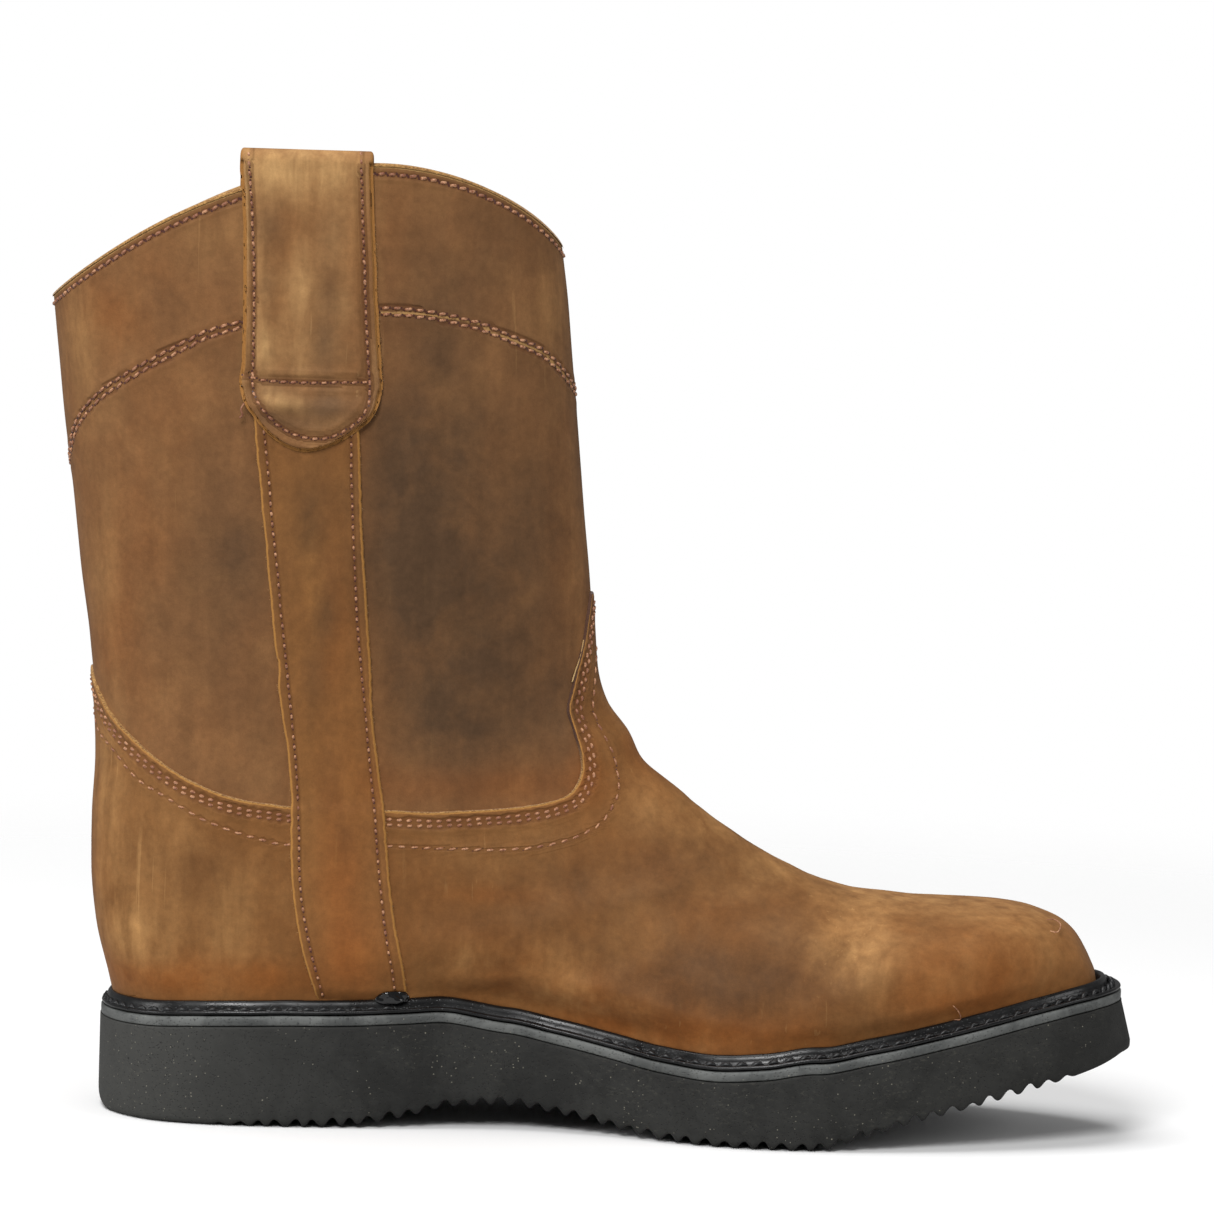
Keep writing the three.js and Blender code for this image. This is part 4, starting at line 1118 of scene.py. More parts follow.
# The collar's rim as (inwards, upwards) round the leather's upper edge, and the lining.
rim = {
    "thick": 2.4,
    "section": [(-0.2, -0.5), (-0.12, 0.0), (0.15, 0.3), (0.5, 0.42),
                (1.2, 0.46), (1.8, 0.36), (2.2, 0.1), (2.3, -0.6)],
    "liningStep": 4,    # the lining has every fourth row and column of the skin
}
rimGrid = np.stack([rimPoints - skinNormal[0] * a - down * h for a, h in rim["section"]], 1)[:-1]
rimFaces = gridFaces(*rimGrid.shape[:2], wrapRows=True)
rimShade = {"shade": np.zeros(rimGrid.shape[:2])}
rimPart = makeMesh("collarRim", rimGrid.reshape(-1, 3), rimFaces, cutEdge, rimShade)

liningGrid = (skin - skinNormal * rim["thick"])[::rim["liningStep"], ::rim["liningStep"]]
liningFaces = gridFaces(*liningGrid.shape[:2])
noStitch = {"stitch": np.full(liningGrid.shape[:2], 9.0)}
liningPart = makeMesh("lining", liningGrid.reshape(-1, 3), liningFaces, liningLeather, noStitch, weld=True)
print("rim and lining ready")


# Where the skin lies beside the boot at x and z, and how far inside the vamp that is.
def sideBase(x, z, side):
    for drop in (0, 1, 2, 3, 5, 8, 12, 18, 25, 35):  # over the collar, from a little lower
        origin = Vector((float(x), 200.0 * side, float(z - drop)))
        hit, _, index, _ = skinTree.ray_cast(origin, Vector((0, -side, 0)))
        if hit is not None:
            i, j = divmod(index, skinShape[1] - 1)
            return hit.y, vampField[i, j]
    return 42.0 * side, -9.0


# The reach of a strap or tab at heights z, from picture pixels of its edge.
def edgeTable(pixels):
    rows = np.array([nearSide(*p) for p in pixels])
    rows = rows[np.argsort(rows[:, 1])]

    def at(z):
        low = rows[0, 0] + (z - rows[0, 1]) * (rows[1, 0] - rows[0, 0]) / (rows[1, 1] - rows[0, 1])
        return np.where(z < rows[0, 1], low, smoothCurve(rows[:, 1], rows[:, 0])(z))

    return at


# A cut edge's rounding: 0 at the edge, 1 from the radius on.
def roundedRise(away, radius):
    t = np.clip(away / radius, 0, 1)
    return np.sqrt(np.maximum(1 - (1 - t) ** 2, 0))


# The side strips. Edges and stitch rows are picture pixels, from the pull tab down to the welt.
strap = {
    "left": [(253, 408), (254.4, 426), (257, 460), (260, 486), (261.6, 510), (265, 540), (267, 570), (270, 600),
             (272.4, 630), (275.6, 658), (277.8, 663), (277.2, 690), (279, 703), (282, 726), (286, 750), (288, 776),
             (290, 804), (289.4, 832), (289.4, 860), (291, 890), (294, 916), (298, 940), (303, 962), (310, 986)],
    "right": [(358, 412), (359.6, 436), (361, 480), (361.6, 510), (363, 544), (365, 576), (367, 610), (368.4, 636),
              (370.4, 664), (371.4, 706), (373, 730), (376, 754), (379, 780), (383, 808), (385.4, 836), (388, 872),
              (391, 902), (395, 930), (399.4, 954), (403, 974), (404.5, 990)],
    "leftRow": [(264, 425), (265.6, 444), (269, 480), (271.6, 516), (274.4, 544), (277.6, 576), (280, 606),
                (284.4, 650), (287, 680), (292, 730), (296, 780), (298.2, 836), (298.4, 866), (300, 896), (303, 918),
                (307, 940), (312, 962), (319, 990)],
    "rightRow": [(351.5, 425), (351.5, 472), (352.4, 504), (354.6, 572), (357.6, 632), (362, 684), (364, 706),
                 (368.2, 760), (373.4, 812), (375.4, 840), (378, 872), (383, 922), (386.4, 946), (390, 966),
                 (393, 990)],
    "top": 216.0,
    "bottom": 36.6,
    "thick": 1.35,
    "overVamp": 0.7,        # lies that much higher on the vamp than on the shaft
    "swell": 0.25,          # between the rows
    "setBack": 4.2,         # the outer strip's and tab's way towards the heel
    "columns": 45,
}
sideName = {-1: "Medial", 1: "Lateral"}
strapLeft, strapRight = edgeTable(strap["left"]), edgeTable(strap["right"])
strapRows = [edgeTable(strap["leftRow"]), edgeTable(strap["rightRow"])]


# How far the outer strip stands back at heights z.
def strapShift(z, side):
    return strap["setBack"] * np.clip((z - 38) / 176, 0, 1) if side > 0 else 0 * z


def makeStrap(side):
    z = np.arange(strap["top"], strap["bottom"], -0.7)
    ticks = np.stack([z, 0 * z, 0 * z], 1)
    edgeLeft = strapLeft(z) + softWaves(ticks, 4, 35 + side) * 0.16
    edgeRight = strapRight(z) + softWaves(ticks, 3, 45 + side) * 0.2
    across = (np.sin(np.linspace(-1, 1, strap["columns"]) * math.pi / 2) + 1) / 2
    shift = strapShift(z, side)[:, None]
    width = (edgeRight - edgeLeft)[:, None]
    x = edgeLeft[:, None] + width * across - shift
    away = np.minimum(across, 1 - across)[None] * width
    height = np.broadcast_to(z[:, None], x.shape)
    base = np.array([sideBase(a, b, side) for a, b in zip(x.ravel(), height.ravel())]).reshape(*x.shape, 2)
    toRow = np.min([np.abs(x + shift - row(z)[:, None]) for row in strapRows], axis=0)
    rise = roundedRise(away, 0.7) * strap["thick"] + 0.1
    rise += 0.16 * np.exp(-(((toRow - 1.3) / 0.8) ** 2)) - 0.3 * np.exp(-((toRow / 0.5) ** 2))
    rise += strap["swell"] * smoothStep((toRow - 1.5) / 5) * smoothStep((away - 4) / 4)

    # the strip thins out towards the welt
    foot = smoothStep((height - strap["bottom"] + 0.2) / 5)
    over = strap["overVamp"] * smoothStep((base[..., 1] + 4) / 5) * blend(0.2, 1, foot)
    y = base[..., 0] + side * (0.05 + over + rise * blend(0.1, 1, foot))
    grid = np.stack([x, y, height], -1)
    faces = gridFaces(*x.shape, flip=side > 0)
    values = {"stitch": toRow, "edge": away} | rubAndPaintedLightValues(grid)
    piece = makeMesh("strap" + sideName[side], grid.reshape(-1, 3), faces, stripHide, values)
    tree = BVHTree.FromPolygons(grid.reshape(-1, 3).tolist(), faces.tolist())
    rows = [np.stack([row(z) - strapShift(z, side), z], 1)[z > strap["bottom"] + 1.6] for row in strapRows]
    return piece, [dropRow(tree, row, side) for row in rows]


# Brings a line of (x, z) down on a piece from the side.
def dropRow(tree, line, side):
    points, normals = [], []
    for x, z in resample(line, 0.4):
        hit, normal, _, _ = tree.ray_cast(Vector((x, 200.0 * side, z)), Vector((0, -side, 0)))
        if hit is not None:
            points.append(hit)
            normals.append(normal * (1 if normal.y * side > 0 else -1))
    return np.array(points), np.array(normals)


straps = {side: makeStrap(side) for side in (-1, 1)}
print("straps ready")

# The pull tabs: outline and stitch rows in picture pixels.
tab = {
    "outline": [
        (240.2, 170), (243, 205), (243.8, 235), (243.4, 280), (243, 327), (241.3, 366), (239.4, 378), (241.3, 395),
        (246, 406), (252, 414), (266.5, 432), (285, 446), (303.5, 451.6), (324, 448.5), (347, 438), (364, 426),
        (371, 420), (378, 407), (382.5, 388), (382, 368), (380, 335), (378, 303), (376.5, 260), (375, 225),
        (373.4, 175),
    ],
    "rows": [
        [(249, 150), (252.8, 212), (254.8, 281), (254, 350), (253.5, 372), (254.5, 395), (263, 408), (271, 418.4),
         (285, 429), (301, 436), (319, 438.5), (337.7, 434.4), (352.6, 425.3), (363, 416), (368.7, 404.6),
         (370, 384), (369, 370), (367.5, 340), (364.2, 248.5), (361.4, 150)],
        [(241.5, 374.5), (262, 379.6), (305.6, 382.2), (370, 382)],
    ],
    "top": {-1: 286.4, 1: 284.3},
    "thick": 1.7,
    "fold": 2.9,            # radius of the fold over the collar
    "neutral": 0.9,         # the fold's under face is that much tighter
    "inside": 243.0,        # where the flap inside ends
    "overStrap": 1.5,
    "bulge": (284, 401),    # the puff under the cross row
}


def makeTab(side):
    shift = strap["setBack"] if side > 0 else 0
    outline = throughPoints([nearSide(*p) for p in tab["outline"]], 14)
    low = int(np.argmin(outline[:, 1]))
    zLow, topZ = outline[low, 1], tab["top"][side] - tab["fold"]
    leftSide, rightSide = outline[:low + 1][::-1], outline[low:]

    # the outside, from its round end up to the fold
    z = blend(zLow + 0.02, topZ, np.linspace(0, 1, 110) ** 1.35)
    xLeft = np.interp(z, np.maximum.accumulate(leftSide[:, 1]), leftSide[:, 0])
    xRight = np.interp(z, np.maximum.accumulate(rightSide[:, 1]), rightSide[:, 0])
    rough = softWaves(np.stack([z, 0 * z, 0 * z], 1), 6, 51 + side) * 0.2 * smoothStep((z - zLow) / 8)
    xLeft, xRight = xLeft + rough, xRight + rough[::-1] * 1.2
    across = (np.sin(np.linspace(-1, 1, 61) * math.pi / 2) + 1) / 2
    x = xLeft[:, None] + (xRight - xLeft)[:, None] * across
    height = np.broadcast_to(z[:, None], x.shape)
    flat = np.stack([x, 0 * x, height], -1)
    border = np.concatenate([np.stack([xLeft, 0 * z, z], 1)[::-1], np.stack([xRight, 0 * z, z], 1)])
    away = distanceTo(flat, [resample(border, 0.15)], 12)
    away = np.minimum(away, np.minimum(x - xLeft[:, None], xRight[:, None] - x))

    # how far the leather rises: thin at its edge, pressed in along the rows, puffed beside them
    rows = [resample(throughPoints([nearSide(*p) for p in row], 12), 0.3) for row in tab["rows"]]
    stitch = distanceTo(flat, [np.insert(row, 1, 0, axis=1) for row in rows], 7)
    bulgeX, bulgeZ = nearSide(*tab["bulge"])
    puff = -0.6 * np.exp(-((stitch / 0.7) ** 2)) + 0.35 * np.exp(-((stitch - 1.9) ** 2))
    puff += 1.3 * np.exp(-(((x - bulgeX) / 5.5) ** 2 + ((height - bulgeZ) / 2.8) ** 2))
    rise = roundedRise(away, 1.0) * tab["thick"] + puff * smoothStep(away / 1.2) * smoothStep((topZ - height) / 5)

    # what it lies on: the skin, evened out, and the strip's upper end
    base = np.abs([sideBase(a - shift, b, side)[0] for a, b in zip(x.ravel(), height.ravel())]).reshape(x.shape)
    for k in range(3):
        base[:, 1:-1] = (base[:, 2:] + base[:, :-2] + 2 * base[:, 1:-1]) / 4
    y = base + smoothStep((strap["top"] + 2 - height) / 6) * tab["overStrap"] + 0.45
    lean = smoothStep((height - topZ + 26) / 26)
    y = blend(y, np.maximum(y, blend(y, y[-1].mean() - 0.3, 0.8)), lean)
    face = [np.stack([x - shift, side * (y + rise), height], -1)]
    under = [np.stack([x - shift, side * y, height], -1)]

    # the fold and the flap inside
    foldX = x[-1] - shift
    sideAway = np.minimum(foldX - foldX[0], foldX[-1] - foldX)
    edgeRise = roundedRise(sideAway, 1.0) * tab["thick"]
    radius = tab["fold"] - tab["neutral"]
    centre = y[-1] - radius
    for kept, thick in ((face, edgeRise), (under, 0 * edgeRise)):
        for angle in np.linspace(0, math.pi, 19)[1:]:
            outwards, upwards = (radius + thick) * math.cos(angle), (radius + thick) * math.sin(angle)
            kept.append(np.stack([foldX, side * (centre + outwards), topZ + upwards], -1)[None])
        for inZ in np.linspace(topZ, tab["inside"], 12)[1:]:
            kept.append(np.stack([foldX, side * (centre - radius - thick), np.full(len(foldX), inZ)], -1)[None])
    face, under = np.concatenate(face), np.concatenate(under)
    more = len(face) - len(x)
    away = np.concatenate([away, np.tile(sideAway, (more, 1))])
    stitch = np.concatenate([stitch, np.tile(np.abs(sideAway - 3.4), (more, 1))])

    faces = gridFaces(*face.shape[:2], flip=side < 0)
    points, both = joinParts([(face, faces.tolist()), (under, faces[:, ::-1].tolist())])
    values = {"stitch": np.concatenate([stitch.ravel(), np.full(stitch.size, 9.0)]),
              "edge": np.concatenate([away.ravel()] * 2)} | rubAndPaintedLightValues(points)
    piece = makeMesh("pullTab" + sideName[side], points, both, tabHide, values, weld=True)
    tree = BVHTree.FromPolygons(face.reshape(-1, 3).tolist(), faces.tolist())
    return piece, [dropRow(tree, row - (shift, 0), side) for row in rows]


tabs = {side: makeTab(side) for side in (-1, 1)}
print("pull tabs ready")


# Pitch, thread and length of the stitches, and how they slant to their row.
stitching = {
    "vampStitches": {"pitch": 2.95, "thick": 0.92, "length": 2.05, "slant": 0.18},
    "vampSingleStitches": {"pitch": 3.7, "thick": 0.66, "length": 2.7, "slant": 0.14},
    "bandStitches": {"pitch": 3.4, "thick": 0.92, "length": 2.6, "slant": 0.2},
    "collarStitches": {"pitch": 3.1, "thick": 1.05, "length": 2.5, "slant": 0.2},
    "strapStitches": {"pitch": 3.0, "thick": 0.78, "length": 1.5, "slant": 0.05},
    "tabStitches": {"pitch": 2.9, "thick": 0.85, "length": 1.95, "slant": 0.15},
    "weltStitches": {"pitch": 4.7, "thick": 1.7, "length": 4.4, "slant": 0.2},
}


# Lockstitches along lines: short bent capsules, with a flat dark disc of painted shade at each end where the stitch
# goes into the leather.
def makeStitches(name, lines, material, holes=True, lift=0.0, jitter=0.06):
    look = stitching[name]
    thick = look["thick"]
    ring, steps = 6, 5
    spots, ways, outs = [], [], []
    for points, normals in lines:
        if len(points) < 4:
            continue
        even, normal = resample(points, look["pitch"], normals)
        spots.append((even[:-1] + even[1:]) / 2)
        ways.append(even[1:] - even[:-1])
        outs.append((normal[:-1] + normal[1:]) / 2)
    spots, ways, outs = (np.concatenate(k) for k in (spots, ways, outs))
    outs /= np.linalg.norm(outs, axis=1, keepdims=True)
    ways /= np.linalg.norm(ways, axis=1, keepdims=True)
    sides = np.cross(outs, ways)
    count = len(spots)
    ways = ways + sides * (look["slant"] + dice.normal(0, jitter, count))[:, None]
    ways /= np.linalg.norm(ways, axis=1, keepdims=True)
    sides = np.cross(outs, ways)
    length = look["length"] * (1 + dice.normal(0, 0.04, count))
    spots = spots + sides * dice.normal(0, 0.05, count)[:, None]

    # a flat-ended capsule, its ends sunk into the leather
    turns = [2 * math.pi * m / ring for m in range(ring)]
    grid = np.zeros((count, steps, ring, 3))
    for k, t in enumerate(np.linspace(-1, 1, steps)):
        swell = math.sqrt(max(1 - abs(t) ** 3.2, 0.12))
        centre = spots + ways * (t * length / 2)[:, None] + outs * (lift + thick * (0.17 - 0.6 * abs(t) ** 2.4))
        for m, a in enumerate(turns):
            grid[:, k, m] = centre + (sides * math.cos(a) + outs * math.sin(a)) * thick / 2 * swell
    size = steps * ring
    faces = (gridFaces(steps, ring, wrapColumns=True)[None] + (np.arange(count) * size)[:, None, None]).reshape(-1, 4)
    faces = faces.tolist()
    for k in range(count):
        faces.append(list(range(k * size + ring - 1, k * size - 1, -1)))
        faces.append(list(range((k + 1) * size - ring, (k + 1) * size)))
    points = grid.reshape(-1, 3)
    holeShade = np.zeros(len(points))
    # painted shade: dark discs where the stitch holes are
    if holes:
        rings = []
        for end in (-1, 1):
            centre = spots + ways * (end * length * 0.53)[:, None] + outs * (lift + 0.05)
            rings += [centre + (sides * math.cos(a) * 0.45 + ways * math.sin(a) * 0.36) * thick for a in turns]
        rings = np.stack(rings, 1).reshape(-1, 3)
        faces += (np.arange(ring)[None] + (np.arange(count * 2) * ring)[:, None] + len(points)).tolist()
        points = np.concatenate([points, rings])
        holeShade = np.concatenate([holeShade, np.ones(len(rings))])
    return makeMesh(name, points, faces, material, {"holeShade": holeShade})


def lifted(rows, amount):
    return [(points + normals * amount, normals) for points, normals in rows]


onVamp = leathers["vampLift"] - 0.05
stitchRows = {
    "vampStitches": lifted(vampRows, onVamp),
    "vampSingleStitches": lifted(singleRows, onVamp),
    "bandStitches": lifted(bandRows, leathers["shaftLift"]),
    "collarStitches": lifted([(collarLine[:-1], collarNormal[:-1])], leathers["shaftLift"]),
    "strapStitches": straps[-1][1] + straps[1][1],
    "tabStitches": tabs[-1][1] + tabs[1][1],
}
stitchPieces = [makeStitches(name, rows, thread) for name, rows in stitchRows.items()]
print("stitches ready")


# The sole's outline as one closed line, with the way in at each point.
def makeOutline(step):
    lines = []
    for side in (-1, 1):
        at = (1 - np.cos(np.pi * np.linspace(0, 1, 900))) / 2
        lines.append(np.stack([topLength * at, soleEdge(at, side)], 1))
    loop = np.concatenate([lines[0], lines[1][::-1][1:]])
    loop = resample(loop, step)[:-1]
    for k in range(2):
        loop = (np.roll(loop, 1, 0) + 2 * loop + np.roll(loop, -1, 0)) / 4
    way = np.roll(loop, -1, 0) - np.roll(loop, 1, 0)
    way /= np.linalg.norm(way, axis=1, keepdims=True)
    inwards = np.stack([-way[:, 1], way[:, 0]], 1)
    return loop, inwards


outline, inwards = makeOutline(0.9)
ledge = weltWidth(outline[:, 0])


# Rings round the sole from (inset, height) pairs; the height stands on ground(x).
def ringPart(name, section, ground, material, wave, seed):
    rings = []
    for inset, height in section:
        at = outline + inwards * (inset + 0 * ledge)[:, None]
        z = ground(at[:, 0]) + height
        ring = np.column_stack([at, z])
        ring += softWaves(ring, 9, seed)[:, None] * wave * np.column_stack([inwards, 0 * z + 0.4])
        rings.append(ring)
    grid = np.stack(rings, 1)
    faces = gridFaces(len(outline), len(section), wrapRows=True, wrapColumns=True, flip=True)
    return makeMesh(name, grid.reshape(-1, 3), faces, material)


# The welt: its edge, the stitched ledge, the bead against the leather and the part under the upper. The thread
# runs all round but for the waist's inner side, which is given in picture pixels.
welt = {
    "edge": [(1.2, 0.35), (0.75, 0.38), (0.5, 0.6), (0.45, 0.95), (0.6, 1.35), (0.95, 1.55)],
    "ledgeStart": 1.25,
    "beadWidth": 2.9,
    "bead": [(-2.95, 1.7), (-2.8, 2.6), (-2.55, 3.5), (-2.1, 4.1), (-1.6, 4.25), (-1.1, 4.0), (-0.75, 3.3),
             (-0.55, 2.2), (0.5, 1.3), (2.4, 1.2), (2.4, 0.4)],
    "bareFrom": (395, 993),
    "bareTo": (600, 1030),
    "threadHeight": 1.35,
}
ledgeStart, ledgeEnd = welt["ledgeStart"], ledge - welt["beadWidth"]
ledgeSection = [
    (ledgeStart, 1.45), (blend(ledgeStart, ledgeEnd, 0.2), 1.15), ((ledgeStart + ledgeEnd) / 2, 1.0),
    (blend(ledgeStart, ledgeEnd, 0.8), 1.15),
]
weltSection = welt["edge"] + ledgeSection + [(ledge + inset, height) for inset, height in welt["bead"]]
weltPart = ringPart("stormWelt", weltSection, midsoleTop, weltRubber, 0.12, 61)
midsoleSection = [(9.0, 0.02), (0.8, 0.02), (0.45, 0.12), (0.25, 0.4), (0.22, 1.5), (0.25, 2.55), (0.5, 2.86),
                  (0.9, 2.92), (9.0, 2.92)]
midsolePart = ringPart(
    "midsoleStrip", midsoleSection, lambda x: soleTop(x) + boot["gap"] * 0.6, midsoleRubber, 0.1, 65)

threadAt = outline + inwards * ((1.3 + ledgeEnd) / 2)[:, None]
threadLine = np.column_stack([threadAt, midsoleTop(threadAt[:, 0]) + welt["threadHeight"]])
innerSide = outline[:, 1] < soleMid(outline[:, 0] / topLength)
bareFrom, bareTo = nearSide(*welt["bareFrom"])[0], nearSide(*welt["bareTo"])[0]
bare = innerSide & (threadLine[:, 0] > bareFrom) & (threadLine[:, 0] < bareTo)
first = int(np.argmax(bare & ~np.roll(bare, 1)))
threadLine = np.roll(threadLine, -first, 0)[~np.roll(bare, -first)]
upright = np.tile((0.0, 0.0, 1.0), (len(threadLine), 1))
weltStitches = makeStitches("weltStitches", [(threadLine, upright)], weltThread, holes=False, lift=0.15, jitter=0.14)


insole = {
    "heelGap": 5.0, "toeGap": 9.5, "sideGap": 4.9,  # in from the line where the upper meets the welt
    "thick": 4.7, "crown": 0.5, "over": 0.35,
    "roundEnds": 9,
    "sections": 150, "around": 56,
}


# The insole's pad: sections across it, crowned a little on top.
def makeInsole():
    start, end = featherStart + insole["heelGap"], featherEnd - insole["toeGap"]
    around = insole["around"]
    angles = np.linspace(0, 2 * math.pi, around, endpoint=False)
    c, s = np.cos(angles), np.sin(angles)
    rows = []
    for x in start + (end - start) * (1 - np.cos(np.linspace(0, math.pi, insole["sections"]))) / 2:
        inner = np.interp(x, *featherInner) + insole["sideGap"]
        outer = np.interp(x, *featherOuter) - insole["sideGap"]
        tip = np.clip(min(x - start, end - x) / insole["roundEnds"], 0, 1)
        half = max((outer - inner) / 2, 0.05) * math.sqrt(1 - (1 - tip) ** 2 * 0.999)
        mid = (inner + outer) / 2
        thick = insole["thick"] * (0.5 + 0.5 * math.sqrt(1 - (1 - tip) ** 4))
        y = mid + half * np.sign(c) * np.abs(c) ** 0.35
        z = midsoleTop(x) + insole["over"] + thick / 2 + thick / 2 * np.sign(s) * np.abs(s) ** 0.45
        z += np.where(s > 0, insole["crown"] * np.cos(math.pi / 2 * (y - mid) / half), 0)
        rows.append(np.stack([np.full(around, x), y, z], 1))
    grid = np.stack(rows)
    faces = gridFaces(*grid.shape[:2], wrapColumns=True).tolist()
    faces += [list(range(around - 1, -1, -1)), [(len(rows) - 1) * around + k for k in range(around)]]
    return makeMesh("insolePad", grid.reshape(-1, 3), faces, liningLeather, {"stitch": np.full(grid.shape[:2], 9.0)})


insolePart = makeInsole()

# The outsole: sections across the foot, close enough together for the ripple tread. The tread's start and end are
# shares of the sole's length, tipStart is where the toe's underside lifts off.
outsole = {
    "pitch": 5.5, "depth": 2.3, "start": 0.125, "end": 0.935,
    "pitchJitter": 0.35, "depthJitter": 0.2, "lobe": 2.2,
    "edge": 2.2, "heel": 5.0, "topEdge": 0.5, "wallBulge": 0.25,
    "tipStart": 292, "tipLift": 0.9,
    "step": 0.42,
}


# Depth of the notches along the sole, with small differences from one to the next.
def treadDepth(x):
    length = boot["soleLength"]
    count = int(length * (outsole["end"] - outsole["start"]) / outsole["pitch"]) + 1
    number = np.arange(count)
    centres = length * outsole["start"] + number * outsole["pitch"] + dice.normal(0, outsole["pitchJitter"], count)
    deep = outsole["depth"] * (1 + dice.normal(0, outsole["depthJitter"], count)).clip(0.6, 1.3)
    deep *= np.clip((number + 1.5) / 4, 0, 1) * np.clip((count - number + 0.5) / 3, 0, 1)
    k = np.clip(np.searchsorted(centres, x) - 1, 0, count - 2)
    t = np.clip(2 * (x - centres[k]) / (centres[k + 1] - centres[k]) - 1, -1.0, 1.0)
    lobe = ((1 - np.cos(math.pi * np.abs(t))) / 2) ** 1.2
    depth = np.where(t < 0, deep[k], deep[k + 1])
    for isPast, centre, own in ((x < centres[0], centres[0], deep[0]), (x > centres[-1], centres[-1], deep[-1])):
        lobe = np.where(isPast, np.clip(1 - np.abs(x - centre) / outsole["lobe"], 0, 1) ** 1.5, lobe)
        depth = np.where(isPast, own, depth)
    return lobe * depth


def makeOutsole():
    ends = (1 - np.cos(np.linspace(0, math.pi / 2, 34))) * 36
    middle = np.arange(30, topLength - 12, outsole["step"])
    x = np.unique(np.round(np.concatenate([ends, topLength - ends * 0.5, middle]), 3))
    depth = treadDepth(x)
    at = x / topLength
    inner, outer = soleEdge(at, -1), soleEdge(at, 1)
    centre, width = (inner + outer) / 2, outer - inner
    heel, edge, topEdge = outsole["heel"], outsole["edge"], outsole["topEdge"]
    tip = (x - outsole["tipStart"]) / 14
    low = soleLift(at) + heel - np.sqrt(heel ** 2 - np.maximum(heel - x, 0) ** 2)
    low += outsole["tipLift"] * smoothStep(tip) * np.clip(tip, 0, 1)
    high = soleTop(x)
    lean = boot["toeLean"] * at ** 10
    rounding = np.minimum(edge, 0.3 * width)
    topRound = np.minimum(topEdge, 0.2 * width)
    rows = []
    for side, wall in ((-1, inner), (1, outer)):
        ring = []
        flatEnd = wall - side * rounding
        for a in np.linspace(1, 0, 9)[:-1]:  # half of the underside
            ring.append((blend(flatEnd, centre, a), low + depth, lean))
        for a in np.linspace(0, math.pi / 2, 6):  # its rounded edge
            z = low + depth * (1 - 0.25 * a) + (1 - math.cos(a)) * np.maximum(edge - depth * 0.4, 0.5)
            ring.append((wall - side * rounding * (1 - math.sin(a)), z, lean))
        cornerZ = ring[-1][1]
        for t in (0.15, 0.32, 0.5, 0.68, 0.85, 0.96):  # the wall
            bulge = side * outsole["wallBulge"] * math.sin(math.pi * t) * np.clip(width / 30, 0, 1)
            ring.append((wall + bulge, blend(cornerZ, high - topEdge, t), lean * (1 - t)))
        for a in np.linspace(0, math.pi / 2, 4):  # the top edge and the top
            ring.append((wall - side * topRound * (1 - math.cos(a)), high - topEdge * (1 - math.sin(a)), 0 * lean))
        ring.append((wall - side * 6 * np.clip(width / 20, 0, 1), high, 0 * lean))
        ring.append((centre, high - 0.3, 0 * lean))
        rows.append(ring)
    around = rows[0] + rows[1][::-1][1:-1]
    grid = np.stack([np.stack([x + forwards, y, z], 1) for y, z, forwards in around], 1)
    outwards = np.sign(grid[..., 1:2] - soleMid(at)[:, None, None]) * (0, 1, 0)
    grid += (softWaves(grid, 14, 71) * 0.12)[..., None] * outwards
    faces = gridFaces(*grid.shape[:2], wrapColumns=True)
    return makeMesh("wedgeOutsole", grid.reshape(-1, 3), faces, outsoleRubber, weld=True)


outsolePart = makeOutsole()
print("sole ready")


# A lump of black cement where the welt's ends meet, and loose ends: picture pixels, lift over the skin, thickness.
smallParts = {
    "cementAt": (391, 999),
    "cementSize": (4.8, 1.7, 2.3),
    "looseThreadToe": ([(1046, 922), (1052, 924), (1057, 930), (1054, 936), (1049, 933)],
                       (0.1, 0.9, 1.4, 0.9, 0.1), 0.35),
    "looseThreadWelt": ([(952, 1004), (957, 1009), (958, 1016), (953, 1018)], (0.2, 0.8, 1.2, 0.4), 0.35),
    "linerSliver": ([(583, 640), (580, 656), (575, 671), (571.5, 682)], (-0.5, -0.5, -0.5, -0.4), 0.45),
    "looseThreadTab": ([(246, 402), (243, 408), (244, 414), (241, 417)], (2.2, 2.6, 2.2, 1.4), 0.6),
    "fibres": 170,      # on each cut edge
}


def makeCement():
    x, z = nearSide(*smallParts["cementAt"])
    work = bmesh.new()
    bmesh.ops.create_icosphere(work, subdivisions=5, radius=1.0)
    points = np.array([v.co for v in work.verts])
    faces = [[v.index for v in f.verts] for f in work.faces]
    work.free()
    points *= 1 + 0.3 * softWaves(points, 1.1, 81)[:, None] + 0.06 * softWaves(points, 0.5, 82)[:, None]
    points = points * smallParts["cementSize"] + (x, np.interp(x, *featherInner) - 2.9, z - 1.3)
    return makeMesh("weltCement", points, faces, cement)


def makeCurl(name, material):
    pixels, lift, thick = smallParts[name]
    points, normals = onSkin([gridPlace(*p) for p in pixels])
    path = throughPoints(points + normals * (np.array(lift) + 0.7)[:, None], 10)
    path = resample(path, 0.25)
    way = np.gradient(path, axis=0)
    way /= np.linalg.norm(way, axis=1, keepdims=True)
    side = np.cross(way, (0.3, -1, 0.2))
    side /= np.linalg.norm(side, axis=1, keepdims=True)
    out = np.cross(side, way)
    turns = np.linspace(0, 2 * math.pi, 6)[:-1]
    grid = np.stack([path + (side * math.cos(a) + out * math.sin(a)) * thick / 2 for a in turns], 1)
    faces = gridFaces(*grid.shape[:2], wrapColumns=True)
    return makeMesh(name, grid.reshape(-1, 3), faces, material, {"holeShade": np.zeros(grid.shape[:2])})


